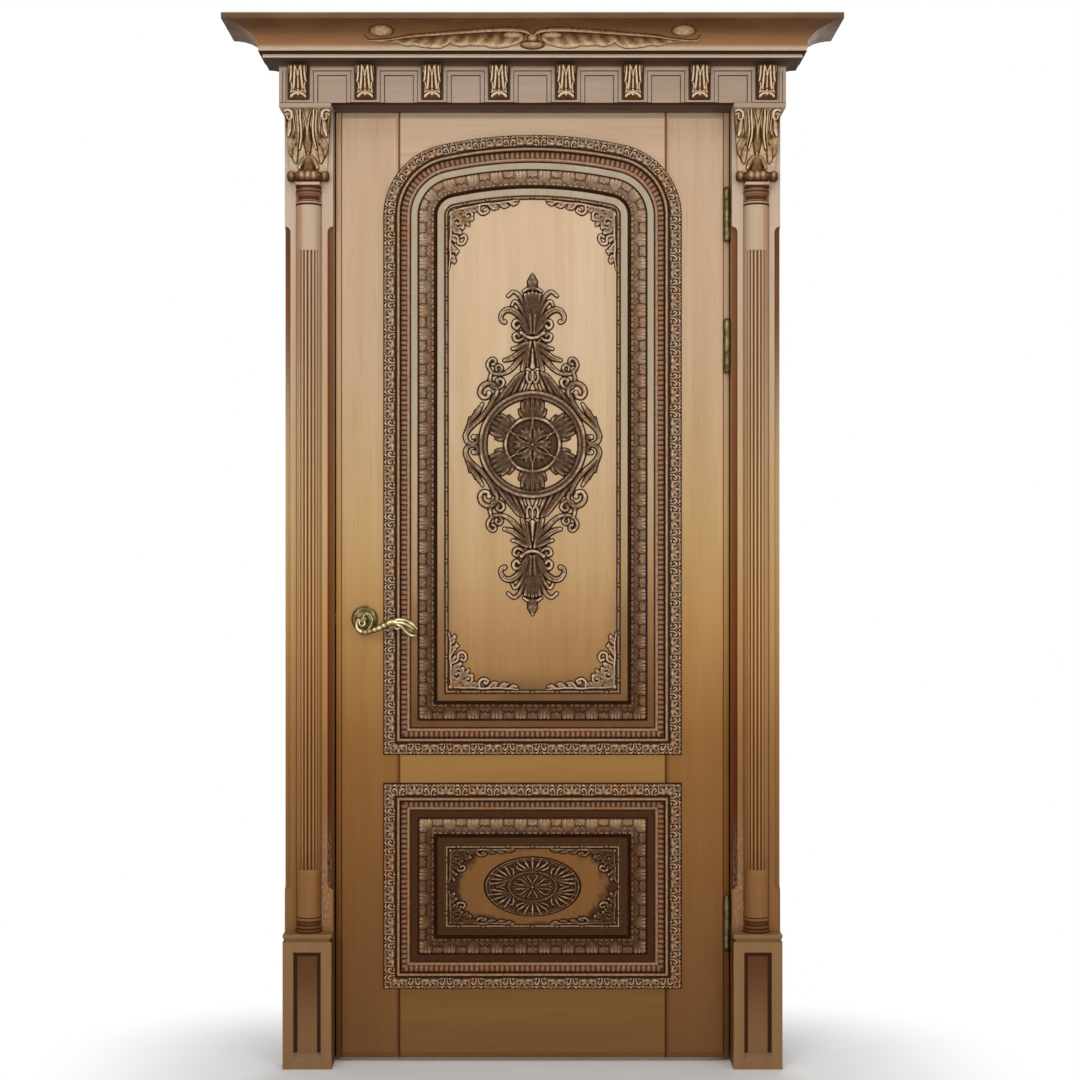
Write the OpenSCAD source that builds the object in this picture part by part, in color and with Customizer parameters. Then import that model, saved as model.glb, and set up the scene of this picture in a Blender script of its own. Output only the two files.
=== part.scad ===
// Carved classical door set: one swinging leaf in a rebated frame, with
// fluted half columns on plinths, consoles, a bracketed frieze and a crown.
// Millimetres. X runs to the right seen from the front, Y runs into the wall
// and Z runs up from the floor. The modules are drawn about the leaf's front
// face; the last lines move them so that the origin lies on the floor, under
// the middle of the whole set.

/* [Leaf] */
// Width of the door leaf
leaf_w = 826; // [800:1:860]
// Height of the door leaf
leaf_h = 1988; // [1940:1:2060]
// Thickness of the door leaf
leaf_t = 45; // [42:1:54]
// Width of the bevel round the leaf's face
bevel_w = 14; // [8:1:18]
// Depth of that bevel at the leaf's edge
bevel_d = 8; // [4:1:10]
// Width of each stile
stile_w = 131; // [122:1:140]
// Height of the bottom rail
bottom_rail_h = 178; // [150:1:210]
// Height of the lower panel's opening
lower_opening_h = 370; // [345:1:410]
// Height of the middle rail
middle_rail_h = 121; // [100:1:160]
// Height of the top rail above the arch
top_rail_h = 80; // [66:1:110]
// Radius of the arch at its crown
arch_r = 868; // [780:1:1100]
// Radius of the arch at its shoulders
shoulder_r = 122; // [116:1:150]
// Length of the rails' tenons
tenon_l = 70; // [50:1:84]
// Thickness of the rails' tenons
tenon_t = 13; // [10:1:15]
// Width of the sunk line at the stile joints
joint_line_w = 4; // [2:0.5:6]
// Depth of that line
joint_line_d = 2.5; // [1:0.5:4]

/* [Clearances] */
// Gap at each side of the leaf
side_gap = 3.5; // [3:0.5:5]
// Gap above the leaf
head_gap = 4; // [3:0.5:8]
// Gap under the leaf
floor_gap = 8; // [5:1:14]
// Gap behind the leaf at the frame's stop
rebate_gap = 2; // [1:0.5:4]
// Gap round a panel in its grooves
panel_gap = 1; // [0.5:0.5:2]
// Gap round parts let into wood
fit_gap = 0.2; // [0.1:0.1:0.4]
// Gap between turning parts
turn_gap = 0.05; // [0.02:0.01:0.1]

/* [Panels] */
// How far a panel's tongue enters its groove
tongue_l = 10; // [6:1:12]
// Thickness of a panel's tongue
tongue_t = 9; // [6:1:11]
// Depth of the tongue behind the leaf's face
tongue_set = 12; // [10:1:15]
// Height of a panel's flat above the leaf's face
panel_rise = 2; // [1:0.5:4]
// Depth of a panel's back behind the leaf's face
panel_back = 26; // [24:1:32]
// Height of the raised field above the leaf's face
field_rise = 9; // [6:0.5:12]
// Width of the plain moulding at the back
back_mould_w = 24; // [16:1:34]
// Thickness of the plain moulding at the back
back_mould_t = 16; // [10:1:16]

/* [Panel mouldings] */
// How far the carved band laps onto stiles and rails
band_lap = 31; // [26:1:36]
// Height of the carved band at its inner edge
band_h = 20; // [14:1:24]
// Height of the carved band at its outer edge
band_edge_h = 4; // [2:0.5:6]
// Depth of the leaves in the carved band
band_relief = 4; // [2:0.5:6]
// Spacing of the leaves in the carved band
band_pitch = 42; // [30:1:54]
// Width of the dentil course
dentil_w = 23; // [18:1:27]
// Width of its solid strip beside the teeth
dentil_strip_w = 9; // [5:0.5:12]
// Height of the dentil course
dentil_h = 13; // [8:1:16]
// Spacing of the dentils
dentil_pitch = 10.5; // [9:0.5:18]
// Flat between the dentils and the tongue moulding
flat_w = 18; // [12:1:24]
// Width of the tongue moulding
tongue_mould_w = 40; // [34:1:44]
// Height of the tongue moulding
tongue_mould_h = 12; // [8:1:16]
// Depth of the carving in the tongue moulding
tongue_relief = 4; // [2:0.5:6]
// Spacing of the tongues
tongue_pitch = 50; // [40:1:70]
// Width of the sunk line between that moulding and the field
quirk_w = 2; // [1:0.5:4]
// Flat margin of the field outside the reed border
margin_w = 16; // [10:1:20]
// Width of the reed border
reed_w = 9; // [6:1:12]
// Height of the reed border
reed_h = 4; // [2:0.5:6]
// Spacing of the reed's knots
knot_pitch = 51; // [40:1:80]

/* [Carvings] */
// Half height of the upper medallion as a share of its field's width
medallion_w_share = 1.014; // [0.94:0.002:1.05]
// Largest half height of the upper medallion as a share of its field's height
medallion_h_share = 0.44; // [0.36:0.01:0.46]
// Outer radius of the medallion's ring as a share of the half height
ring_share = 0.3165; // [0.29:0.0005:0.335]
// Width of that ring as a share of the half height
ring_w_share = 0.045; // [0.03:0.001:0.056]
// Radius of the medallion's hub as a share of the half height
hub_share = 0.151; // [0.135:0.001:0.168]
// Height of the carvings above the field
carving_h = 10; // [6:1:14]
// Width of the lower oval medallion as a share of its field's width
oval_w_share = 0.5625; // [0.5:0.0025:0.58]
// Height of the lower oval medallion as a share of its field's height
oval_h_share = 0.772; // [0.7:0.002:0.78]
// Length of a corner carving as a share of its field's width
corner_w_share = 0.426; // [0.37:0.002:0.44]
// Height of an upper corner carving
corner_h = 132; // [110:1:150]
// Height of a lower corner carving as a share of its field's height
low_corner_h_share = 0.392; // [0.32:0.002:0.4]

/* [Frame] */
// Thickness of the jambs
jamb_t = 35; // [30:1:44]
// Depth of the jambs behind the casing
jamb_d = 120; // [110:1:160]
// Width of the jambs' stop
stop_w = 14; // [10:1:18]
// Wall face behind the leaf's face
wall_set = 6; // [4:1:8]
// Width of the pilaster boards
pilaster_w = 101; // [96:1:112]
// Face of the pilaster boards ahead of the leaf
pilaster_rise = 22; // [18:1:28]
// Radius of the stopped hollows on the boards
hollow_r = 12; // [8:1:14]
// Radius of the fixing holes in the jambs
fixing_r = 5; // [3:0.5:6]
// Spacing of the fixing holes in a pair
fixing_spacing = 500; // [400:10:600]

/* [Columns] */
// Radius of the half columns
column_r = 25; // [22:0.5:28]
// Column axis ahead of the pilaster board
column_set = 2; // [1:0.5:6]
// Height of the column's base
base_h = 32; // [26:1:40]
// Height of the column's capital
capital_h = 47; // [40:1:56]
// Plain height of the shaft below the flutes
shaft_low_h = 100; // [60:1:140]
// Plain height of the shaft above the flutes
shaft_top_h = 94; // [60:1:140]
// Radius of a flute
flute_r = 2.7; // [2:0.1:3.2]
// Number of flutes that show
flute_count = 7; // [5:2:7]

/* [Plinths and consoles] */
// Face of the plinths ahead of the leaf
plinth_rise = 60; // [50:1:64]
// Height of the plinths under their caps
plinth_h = 264; // [240:1:300]
// Height of the plinths' caps
plinth_cap_h = 15; // [14:1:26]
// Border round the plinths' sunk panel
plinth_border = 21; // [16:1:26]
// Depth of the plinths' sunk panel
plinth_sink = 7; // [4:1:12]
// Width of the bevel in the sunk panel
plinth_bevel_w = 10; // [6:1:14]
// Height of the consoles over their rolls
console_h = 128; // [110:1:150]
// Face of the consoles ahead of the leaf
console_rise = 66; // [58:1:68]
// Height of the console's top slab
abacus_h = 10; // [8:1:14]
// Radius of the beaded roll under a console
roll_r = 11; // [9:0.5:13]

/* [Cornice] */
// Face of the frieze ahead of the leaf
frieze_rise = 70; // [69:1:80]
// Height of the frieze
frieze_h = 75; // [70:1:90]
// Overhang of the frieze beside the pilasters
frieze_over = 6; // [4:1:12]
// Number of brackets on the frieze
bracket_count = 8; // [6:1:9]
// Width of a bracket
bracket_w = 41; // [36:1:46]
// Height of a bracket
bracket_h = 69; // [60:1:70]
// Projection of a bracket
bracket_rise = 24; // [16:1:27]
// Depth of each step in the frieze panels
frieze_step_d = 3; // [2:0.5:5]
// Width of each step in the frieze panels
frieze_step_w = 9; // [6:0.5:10]
// Height of the bed mould
bed_h = 21; // [16:1:28]
// Projection of the bed mould over the frieze
bed_rise = 30; // [28:1:36]
// Height of the crown
crown_h = 62; // [54:1:74]
// Projection of the crown's foot over the frieze
crown_foot_rise = 38; // [36:1:48]
// Projection of the crown over the frieze
crown_rise = 104; // [90:1:112]
// Thickness of the crown's boards
crown_wall = 20; // [16:1:24]
// Thickness of the cornice's top board
top_board_t = 10; // [8:1:12]
// Half width of the carving on the crown
crest_w = 345; // [300:1:380]
// Height of that carving over the crown
crest_t = 9; // [5:1:12]

/* [Ironmongery] */
// Height of the handle above the floor
handle_z = 931; // [900:1:1000]
// Handle's distance from the leaf's edge
backset = 61; // [58:1:66]
// Radius of the roses
rose_r = 28; // [25:0.5:29]
// Thickness of the roses
rose_t = 10; // [7:0.5:12]
// Radius of the levers' necks
neck_r = 9; // [8:0.5:11]
// Levers' arms ahead of the door's face
lever_reach = 52; // [48:1:60]
// Length of the levers
lever_l = 113; // [100:1:125]
// Thickness of the levers
lever_t = 8; // [7:0.5:10]
// Side of the square spindle
spindle_w = 8; // [7:0.5:9]
// How far the spindle enters each lever's neck
spindle_in = 24; // [18:1:28]
// Width of the latch bolt
bolt_w = 12; // [10:0.5:13]
// Height of the latch bolt
bolt_h = 20; // [16:1:24]
// Throw of the latch bolt
bolt_throw = 12; // [9:0.5:12]
// Length of the latch case
case_l = 78; // [76:1:90]
// Height of the latch case
case_h = 100; // [80:1:120]
// Thickness of the latch case
case_t = 16; // [15:0.5:17]
// Thickness of the forend and strike plates
plate_t = 2; // [1.5:0.5:3]
// Width of the forend and strike plates
plate_w = 22; // [20:1:24]
// Height of the forend
forend_h = 160; // [140:1:200]
// Height of the strike plate
strike_h = 70; // [60:1:90]
// Height of a hinge
hinge_h = 105; // [90:1:120]
// Radius of a hinge's knuckles
knuckle_r = 7.5; // [7:0.5:8]
// Radius of a hinge's pin
pin_r = 4; // [3:0.5:5]
// Thickness of a hinge's plates
hinge_t = 2; // [1.5:0.5:2]
// Depth of a hinge's plates into the frame
hinge_d = 32; // [26:1:36]
// Hinge axis in from the leaf's edge
hinge_inset = 5; // [4.5:0.5:6]
// Hinge axis ahead of the leaf's face
hinge_rise = 3; // [2:0.5:4]
// Middle of the top hinge under the leaf's top
hinge_top_drop = 216; // [140:1:300]
// Middle of the second hinge under the leaf's top
hinge_mid_drop = 492; // [400:1:700]
// Middle of the bottom hinge above the leaf's foot
hinge_low_rise = 284; // [200:1:400]

/* [Hidden] */
$fn = 48;

// How far cuts run past the faces that they leave
overrun = 1;

// Colours
oak = [0.66, 0.50, 0.34];
oak_dark = [0.42, 0.27, 0.15];
oak_pale = [0.76, 0.62, 0.46];
brass = [0.62, 0.47, 0.22];

// Levels of the leaf, its openings and the frame round it
leaf_z0 = floor_gap;
leaf_z1 = floor_gap + leaf_h;
open_x = leaf_w / 2 + side_gap;
open_z = leaf_z1 + head_gap;
stop_y = leaf_t + rebate_gap;
frame_y = wall_set + jamb_d;
panel_half = leaf_w / 2 - stile_w;
lower_z0 = leaf_z0 + bottom_rail_h;
lower_z1 = lower_z0 + lower_opening_h;
upper_z0 = lower_z1 + middle_rail_h;
arch_z = leaf_z1 - top_rail_h;
arch_c = arch_z - arch_r;
shoulder_x = panel_half - shoulder_r;
arch_a = asin(shoulder_x / (arch_r - shoulder_r));
shoulder_z = arch_c + (arch_r - shoulder_r) * cos(arch_a);
tongue_o0 = dentil_w + flat_w;
tongue_o1 = tongue_o0 + tongue_mould_w;
reed_o0 = tongue_o1 + margin_w;
reed_o1 = reed_o0 + reed_w;
field_w = 2 * (panel_half - reed_o1);
upper_field_h = arch_z - upper_z0 - 2 * reed_o1;
lower_field_h = lower_z1 - lower_z0 - 2 * reed_o1;
medallion_h = min(field_w * medallion_w_share, upper_field_h * medallion_h_share);
medallion_z = (upper_z0 + arch_z) / 2;
ring_r = medallion_h * ring_share;
ring_w = medallion_h * ring_w_share;
hub_r = medallion_h * hub_share;
oval_w = field_w * oval_w_share;
oval_h = lower_field_h * oval_h_share;
corner_w = field_w * corner_w_share;
low_corner_h = lower_field_h * low_corner_h_share;
hinge_top_z = leaf_z1 - hinge_top_drop;
hinge_mid_z = leaf_z1 - hinge_mid_drop;
hinge_low_z = leaf_z0 + hinge_low_rise;
pilaster_x = open_x + pilaster_w;
column_x = open_x + pilaster_w / 2;
plinth_top = plinth_h + plinth_cap_h;
console_z = open_z - abacus_h - console_h;
roll_z = console_z - roll_r;
column_top = roll_z - roll_r;
frieze_x = pilaster_x + frieze_over;
bed_z = open_z + frieze_h;
crown_z = bed_z + bed_h;
crown_in = crown_foot_rise - crown_wall;
hinge_x = leaf_w / 2 - hinge_inset;
handle_x = -leaf_w / 2 + backset;
latch_y = (bevel_d + leaf_t) / 2;
// Moves the leaf's face so that the origin is under the middle of the set
set_y = (frieze_rise + crown_rise - frame_y) / 2;

// Closed outlines round the two openings, seen from the front. An outline
// runs up the right side and back over the top; o moves it into the opening.
UPPER = 0;
LOWER = 1;
arc_steps = 14;

function mix(a, b, f) = a + (b - a) * f;
function last(v) = v[len(v) - 1];
function upper_pt(s, f, o) =
  let (w = panel_half - o, z0 = upper_z0 + o, rs = shoulder_r - o, ra = arch_r - o)
  s == 0 ? [mix(-w, w, f), z0] :
  s == 1 ? [w, mix(z0, shoulder_z, f)] :
  s == 2 ? let (a = f * (90 - arch_a))
    [shoulder_x + rs * cos(a), shoulder_z + rs * sin(a)] :
  s == 3 ? let (a = mix(90 - arch_a, 90 + arch_a, f))
    [ra * cos(a), arch_c + ra * sin(a)] :
  s == 4 ? let (a = mix(90 + arch_a, 180, f))
    [-shoulder_x + rs * cos(a), shoulder_z + rs * sin(a)] :
  [-w, mix(shoulder_z, z0, f)];
function lower_pt(s, f, o) =
  let (w = panel_half - o, z0 = lower_z0 + o, z1 = lower_z1 - o)
  s == 0 ? [mix(-w, w, f), z0] :
  s == 1 ? [w, mix(z0, z1, f)] :
  s == 2 ? [mix(w, -w, f), z1] :
  [-w, mix(z1, z0, f)];
function ring_pt(ring, s, f, o) = ring == UPPER ? upper_pt(s, f, o) : lower_pt(s, f, o);
function ring_sides(ring) = ring == UPPER ? 6 : 4;
function is_arc(ring, s) = ring == UPPER && s > 1 && s < 5;
function side_len(ring, s, o) =
  is_arc(ring, s)
    ? (s == 3 ? 2 * arch_a * (arch_r - o) : (90 - arch_a) * (shoulder_r - o)) * PI / 180
    : norm(ring_pt(ring, s, 1, o) - ring_pt(ring, s, 0, o));
function outline(ring, o) =
  [for (s = [0 : ring_sides(ring) - 1])
    let (n = is_arc(ring, s) ? arc_steps : 1)
    for (k = [0 : n - 1]) ring_pt(ring, s, k / n, o)];
// Places along an outline, as side, share of the side and place in the motif
function stations(ring, o, pitch, q) =
  [for (s = [0 : ring_sides(ring) - 1])
    let (n = q * max(1, round(side_len(ring, s, o) / pitch)))
    for (k = [0 : n - 1]) [s, k / n, k % q]];

// A flat outline between two depths, facing the front
module slab(y0, y1) {
  translate([0, y1, 0]) rotate([90, 0, 0]) linear_extrude(height = y1 - y0) children();
}

// A closed border between two insets of an opening
module border(ring, o0, o1) {
  difference() {
    polygon(outline(ring, o0));
    polygon(outline(ring, o1));
  }
}

// A carved moulding swept round an opening. Each motif has one section per
// place, and a section is a list of inset and height ahead of the leaf.
module carved_ring(ring, o, pitch, sections) {
  m = len(sections[0]);
  places = stations(ring, o, pitch, len(sections));
  n = len(places);
  points = [for (p = places) for (v = sections[p[2]])
    let (xz = ring_pt(ring, p[0], p[1], v[0])) [xz[0], -v[1], xz[1]]];
  faces = [for (i = [0 : n - 1]) for (j = [0 : m - 1])
    let (a = i * m + j, b = i * m + (j + 1) % m,
         c = (i + 1) % n * m + (j + 1) % m, d = (i + 1) % n * m + j)
    each [[a, b, c], [a, c, d]]];
  polyhedron(points, faces);
}

// A tube of oval section through a list of points, with its ends closed
tube_sides = 8;
module tube(points, wide, deep) {
  n = len(points);
  function dir(i) = let (v = points[min(i + 1, n - 1)] - points[max(i - 1, 0)]) v / norm(v);
  pts = [for (i = [0 : n - 1])
    let (d = dir(i), s0 = cross(d, [0, 1, 0]), s = s0 / norm(s0), u = cross(s, d))
    for (k = [0 : tube_sides - 1])
      let (a = 360 * k / tube_sides)
      points[i] + s * wide[i] * cos(a) + u * deep[i] * sin(a)];
  ends = [[for (k = [tube_sides - 1 : -1 : 0]) k],
    [for (k = [0 : tube_sides - 1]) (n - 1) * tube_sides + k]];
  walls = [for (i = [0 : n - 2]) for (k = [0 : tube_sides - 1])
    let (a = i * tube_sides + k, b = i * tube_sides + (k + 1) % tube_sides,
         c = (i + 1) * tube_sides + (k + 1) % tube_sides, d = (i + 1) * tube_sides + k)
    each [[a, c, d], [a, b, c]]];
  polyhedron(pts, concat(ends, walls));
}

// Draws a right-hand piece, or its mirror image on the left
module sided(side) {
  if (side < 0) mirror([1, 0, 0]) children();
  else children();
}

// A block moulded on its front and both sides, with true mitres. The profile
// lists projection and height from the foot up.
module moulded_block(half_w, front, back, profile) {
  out = max([for (p = profile) p[0]]);
  n = len(profile);
  intersection() {
    translate([-half_w - out, 0, 0]) rotate([90, 0, 90])
      linear_extrude(height = 2 * (half_w + out))
        polygon(concat([[back, profile[0][1]]],
          [for (p = profile) [-front - p[0], p[1]]], [[back, last(profile)[1]]]));
    slab(-front - out, back)
      polygon(concat([for (p = profile) [half_w + p[0], p[1]]],
        [for (i = [n - 1 : -1 : 0]) [-half_w - profile[i][0], profile[i][1]]]));
  }
}

// One carved lobe: a low ridge from one point to another, seen from the front
lobe_sides = 4;
module lobe(p, q, rp, rq, face, h) {
  hull() {
    translate([p[0], -face, p[1]]) rotate([90, 0, 0])
      cylinder(h = h, r1 = rp, r2 = 0, $fn = lobe_sides);
    translate([q[0], -face, q[1]]) rotate([90, 0, 0])
      cylinder(h = h, r1 = rq, r2 = 0, $fn = lobe_sides);
  }
}
// A table of lobes: two points and two radii, as shares of the given sizes
module lobes(table, w, h, r, face, rise) {
  for (t = table)
    lobe([t[0] * w, t[1] * h], [t[2] * w, t[3] * h], t[4] * r, t[5] * r, face, rise);
}

// Frame

module jamb() {
  difference() {
    linear_extrude(height = open_z)
      polygon([[open_x, wall_set], [open_x + jamb_t, wall_set],
        [open_x + jamb_t, frame_y], [open_x - stop_w, frame_y],
        [open_x - stop_w, stop_y], [open_x, stop_y]]);
    for (z = fixing_zs) translate([open_x - stop_w - overrun, fixing_y, z])
      rotate([0, 90, 0]) cylinder(h = jamb_t + stop_w + 2 * overrun, r = fixing_r);
  }
}
// Fixing holes, in an upper and a lower pair on the middle of the stop
fixing_y = (stop_y + frame_y) / 2;
fixing_low_share = 0.12;
fixing_zs = [open_z * fixing_low_share, open_z * fixing_low_share + fixing_spacing,
  open_z * (1 - fixing_low_share) - fixing_spacing, open_z * (1 - fixing_low_share)];

// The strike's hollow is larger than the bolt by this much all round
strike_gap = 1.5;
strike_d = bolt_throw + strike_gap;
module left_jamb() {
  color(oak) difference() {
    sided(-1) jamb();
    translate([-open_x - strike_d, latch_y - bolt_w / 2 - strike_gap,
      handle_z - bolt_h / 2 - strike_gap])
      cube([strike_d + overrun, bolt_w + 2 * strike_gap, bolt_h + 2 * strike_gap]);
    translate([-open_x - plate_t, latch_y - plate_w / 2, handle_z - strike_h / 2])
      cube([plate_t + overrun, plate_w, strike_h]);
  }
}
module right_jamb() { color(oak) jamb(); }
module head_jamb() {
  color(oak) union() {
    translate([-open_x - jamb_t, wall_set, open_z])
      cube([2 * (open_x + jamb_t), jamb_d, jamb_t]);
    translate([-open_x + stop_w, stop_y, open_z - stop_w])
      cube([2 * (open_x - stop_w), frame_y - stop_y, stop_w]);
  }
}
module strike_plate() {
  color(brass) difference() {
    translate([-open_x - plate_t, latch_y - plate_w / 2, handle_z - strike_h / 2])
      cube([plate_t, plate_w, strike_h]);
    translate([-open_x - plate_t - overrun, latch_y - bolt_w / 2 - strike_gap,
      handle_z - bolt_h / 2 - strike_gap])
      cube([plate_t + 2 * overrun, bolt_w + 2 * strike_gap, bolt_h + 2 * strike_gap]);
  }
}

// The hollows end this far above the plinth cap and below the column's top
hollow_low = 100;
hollow_high = 100;
module pilaster() {
  difference() {
    translate([open_x, -pilaster_rise, 0])
      cube([pilaster_w, pilaster_rise + wall_set, open_z - abacus_h]);
    for (x = [open_x, pilaster_x]) {
      translate([x, -pilaster_rise, plinth_top + hollow_low])
        cylinder(h = column_top - plinth_top - hollow_low - hollow_high, r = hollow_r);
      for (z = [plinth_top + hollow_low, column_top - hollow_high])
        translate([x, -pilaster_rise, z]) sphere(r = hollow_r);
    }
  }
}
module left_pilaster() { color(oak_pale) sided(-1) pilaster(); }
module right_pilaster() { color(oak_pale) pilaster(); }

// Turned outline of base and capital: radius and height as shares
base_shares = [[1.08, 0], [1.12, 0.09], [1.08, 0.19], [0.9, 0.21], [0.9, 0.27],
  [1.02, 0.29], [1.06, 0.36], [1.02, 0.44], [0.9, 0.5], [0.88, 0.62], [0.92, 0.74],
  [1.04, 0.78], [1.04, 0.9], [1, 1]];
capital_shares = [[1, 0], [1.06, 0.03], [1.08, 0.09], [1.06, 0.15], [0.98, 0.17],
  [0.84, 0.26], [0.82, 0.36], [0.9, 0.46], [1.04, 0.5], [1.1, 0.59], [1.06, 0.69],
  [1, 0.73], [1, 0.78]];
block_share = 0.78;
flute_angle = 19;
module column() {
  shaft_z0 = plinth_top + base_h;
  shaft_z1 = column_top - capital_h;
  profile = concat([[0, plinth_top]],
    [for (p = base_shares) [p[0] * column_r, plinth_top + p[1] * base_h]],
    [for (p = capital_shares) [p[0] * column_r, shaft_z1 + p[1] * capital_h]],
    [[0, shaft_z1 + block_share * capital_h]]);
  axis_y = -pilaster_rise - column_set;
  translate([column_x, axis_y, 0]) {
    difference() {
      rotate_extrude() polygon(profile);
      translate([-pilaster_w / 2, column_set, 0]) cube([pilaster_w, pilaster_w, open_z]);
      for (k = [0 : flute_count - 1])
        rotate([0, 0, (k - (flute_count - 1) / 2) * flute_angle])
          translate([0, -column_r, shaft_z0 + shaft_low_h])
            cylinder(h = shaft_z1 - shaft_z0 - shaft_low_h - shaft_top_h, r = flute_r);
    }
    translate([-column_r, -column_r, shaft_z1 + block_share * capital_h])
      cube([2 * column_r, column_r + column_set, (1 - block_share) * capital_h]);
  }
}
module left_column() { color(oak) sided(-1) column(); }
module right_column() { color(oak) column(); }

module plinth() {
  t = plinth_rise - pilaster_rise;
  difference() {
    translate([open_x, -plinth_rise, 0]) cube([pilaster_w, t, plinth_h]);
    // Sunk panel with bevelled sides
    translate([column_x, -plinth_rise, 0]) {
      half = pilaster_w / 2 - plinth_border;
      intersection() {
        linear_extrude(height = plinth_h)
          polygon([[-half, 0], [half, 0], [half - plinth_bevel_w, plinth_sink],
            [plinth_bevel_w - half, plinth_sink]]);
        translate([-half, 0, 0]) rotate([90, 0, 90]) linear_extrude(height = 2 * half)
          polygon([[0, plinth_border], [plinth_sink, plinth_border + plinth_bevel_w],
            [plinth_sink, plinth_h - plinth_border - plinth_bevel_w],
            [0, plinth_h - plinth_border]]);
      }
    }
  }
}
module left_plinth() { color(oak_dark) sided(-1) plinth(); }
module right_plinth() { color(oak_dark) plinth(); }

// Cap outline: projection as a share of the cap's lip, height of the cap
cap_shares = [[-0.2, 0], [-0.2, 0.2], [0.35, 0.3], [0.8, 0.5], [1, 0.62], [1, 1]];
cap_lip = 4;
module plinth_cap() {
  translate([column_x, 0, plinth_h])
    moulded_block(pilaster_w / 2 - cap_lip, plinth_rise - cap_lip, -pilaster_rise,
      [for (p = cap_shares) [p[0] * cap_lip, p[1] * plinth_cap_h]]);
}
module left_plinth_cap() { color(oak_dark) sided(-1) plinth_cap(); }
module right_plinth_cap() { color(oak_dark) plinth_cap(); }

// Console: an ogee bracket with an acanthus leaf over it and a beaded roll.
// Its leaf lobes run from the middle out, as shares of the width and height.
console_foot_share = 0.36;
console_swell_share = 0.14;
console_low_w_share = 0.8;
console_lobe_shares = [
  [0, 0.96, 0, 0.5, 0.15, 0.2], [0, 0.5, 0, 0.16, 0.2, 0.1],
  [0.16, 0.96, 0.26, 0.66, 0.1, 0.15], [0.16, 0.7, 0.24, 0.4, 0.1, 0.13],
  [0.12, 0.4, 0.2, 0.16, 0.1, 0.1], [0.36, 0.97, 0.42, 0.7, 0.08, 0.1],
  [0.34, 0.66, 0.38, 0.38, 0.08, 0.09]];
lobe_sink_share = 0.75;
function console_ahead(t) =
  pilaster_rise + (console_rise - pilaster_rise)
    * mix(console_foot_share, 1, t - console_swell_share * sin(360 * t));
bead_count = 6;
bead_sides = 6;
console_steps = 6;
module console() {
  w = pilaster_w - frieze_over;
  zt = open_z - abacus_h;
  x0 = column_x;
  intersection() {
    translate([open_x, 0, 0]) rotate([90, 0, 90]) linear_extrude(height = pilaster_w)
      polygon(concat([[-pilaster_rise, zt], [-pilaster_rise, roll_z]],
        [[-console_ahead(0), roll_z]],
        [for (k = [0 : console_steps]) [-console_ahead(k / console_steps),
          mix(console_z, zt, k / console_steps)]]));
    slab(-console_rise, -pilaster_rise)
      polygon([[x0 - w / 2 * console_low_w_share, roll_z],
        [x0 + w / 2 * console_low_w_share, roll_z], [x0 + w / 2, zt], [x0 - w / 2, zt]]);
  }
  for (t = console_lobe_shares) for (s = t[0] > 0 ? [-1, 1] : [1]) hull() for (e = [0, 2]) {
    r = t[4 + e / 2] * w * lobe_sink_share;
    translate([x0 + s * t[e] * w, -console_ahead(t[e + 1]) + r * (1 - lobe_sink_share),
      mix(console_z, zt, t[e + 1]) - r * (t[e + 1] > lobe_sink_share ? 1 : 0)])
      sphere(r = r, $fn = lobe_sides);
  }
  translate([x0, -pilaster_rise - roll_r, roll_z]) {
    rotate([0, 90, 0]) cylinder(h = w, r = roll_r * lobe_sink_share, center = true, $fn = 12);
    for (k = [0 : bead_count - 1])
      translate([(k - (bead_count - 1) / 2) * w / bead_count, 0, 0]) hull()
        rotate([0, 90, 0]) sphere(r = roll_r, $fn = bead_sides);
  }
  translate([open_x, -frieze_rise, zt])
    cube([pilaster_w + frieze_over, frieze_rise + wall_set, abacus_h]);
}
module left_console() { color(oak_dark) sided(-1) console(); }
module right_console() { color(oak_dark) console(); }

// Frieze with a stepped sunk panel between each two brackets
bracket_margin = 20;
bracket_pitch = 2 * (frieze_x - bracket_margin - bracket_w / 2) / (bracket_count - 1);
function bracket_x(k) = (k - (bracket_count - 1) / 2) * bracket_pitch;
module frieze() {
  gap = bracket_pitch - bracket_w;
  color(oak) difference() {
    translate([-frieze_x, -frieze_rise, open_z])
      cube([2 * frieze_x, frieze_rise + wall_set, frieze_h]);
    for (k = [0 : bracket_count - 2]) for (step = [1, 2]) {
      half = gap / 2 - step * frieze_step_w;
      translate([bracket_x(k) + bracket_pitch / 2 - half, -frieze_rise - overrun,
        open_z - overrun])
        cube([2 * half, step * frieze_step_d + overrun,
          frieze_h - step * frieze_step_w + overrun]);
    }
  }
}

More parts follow.
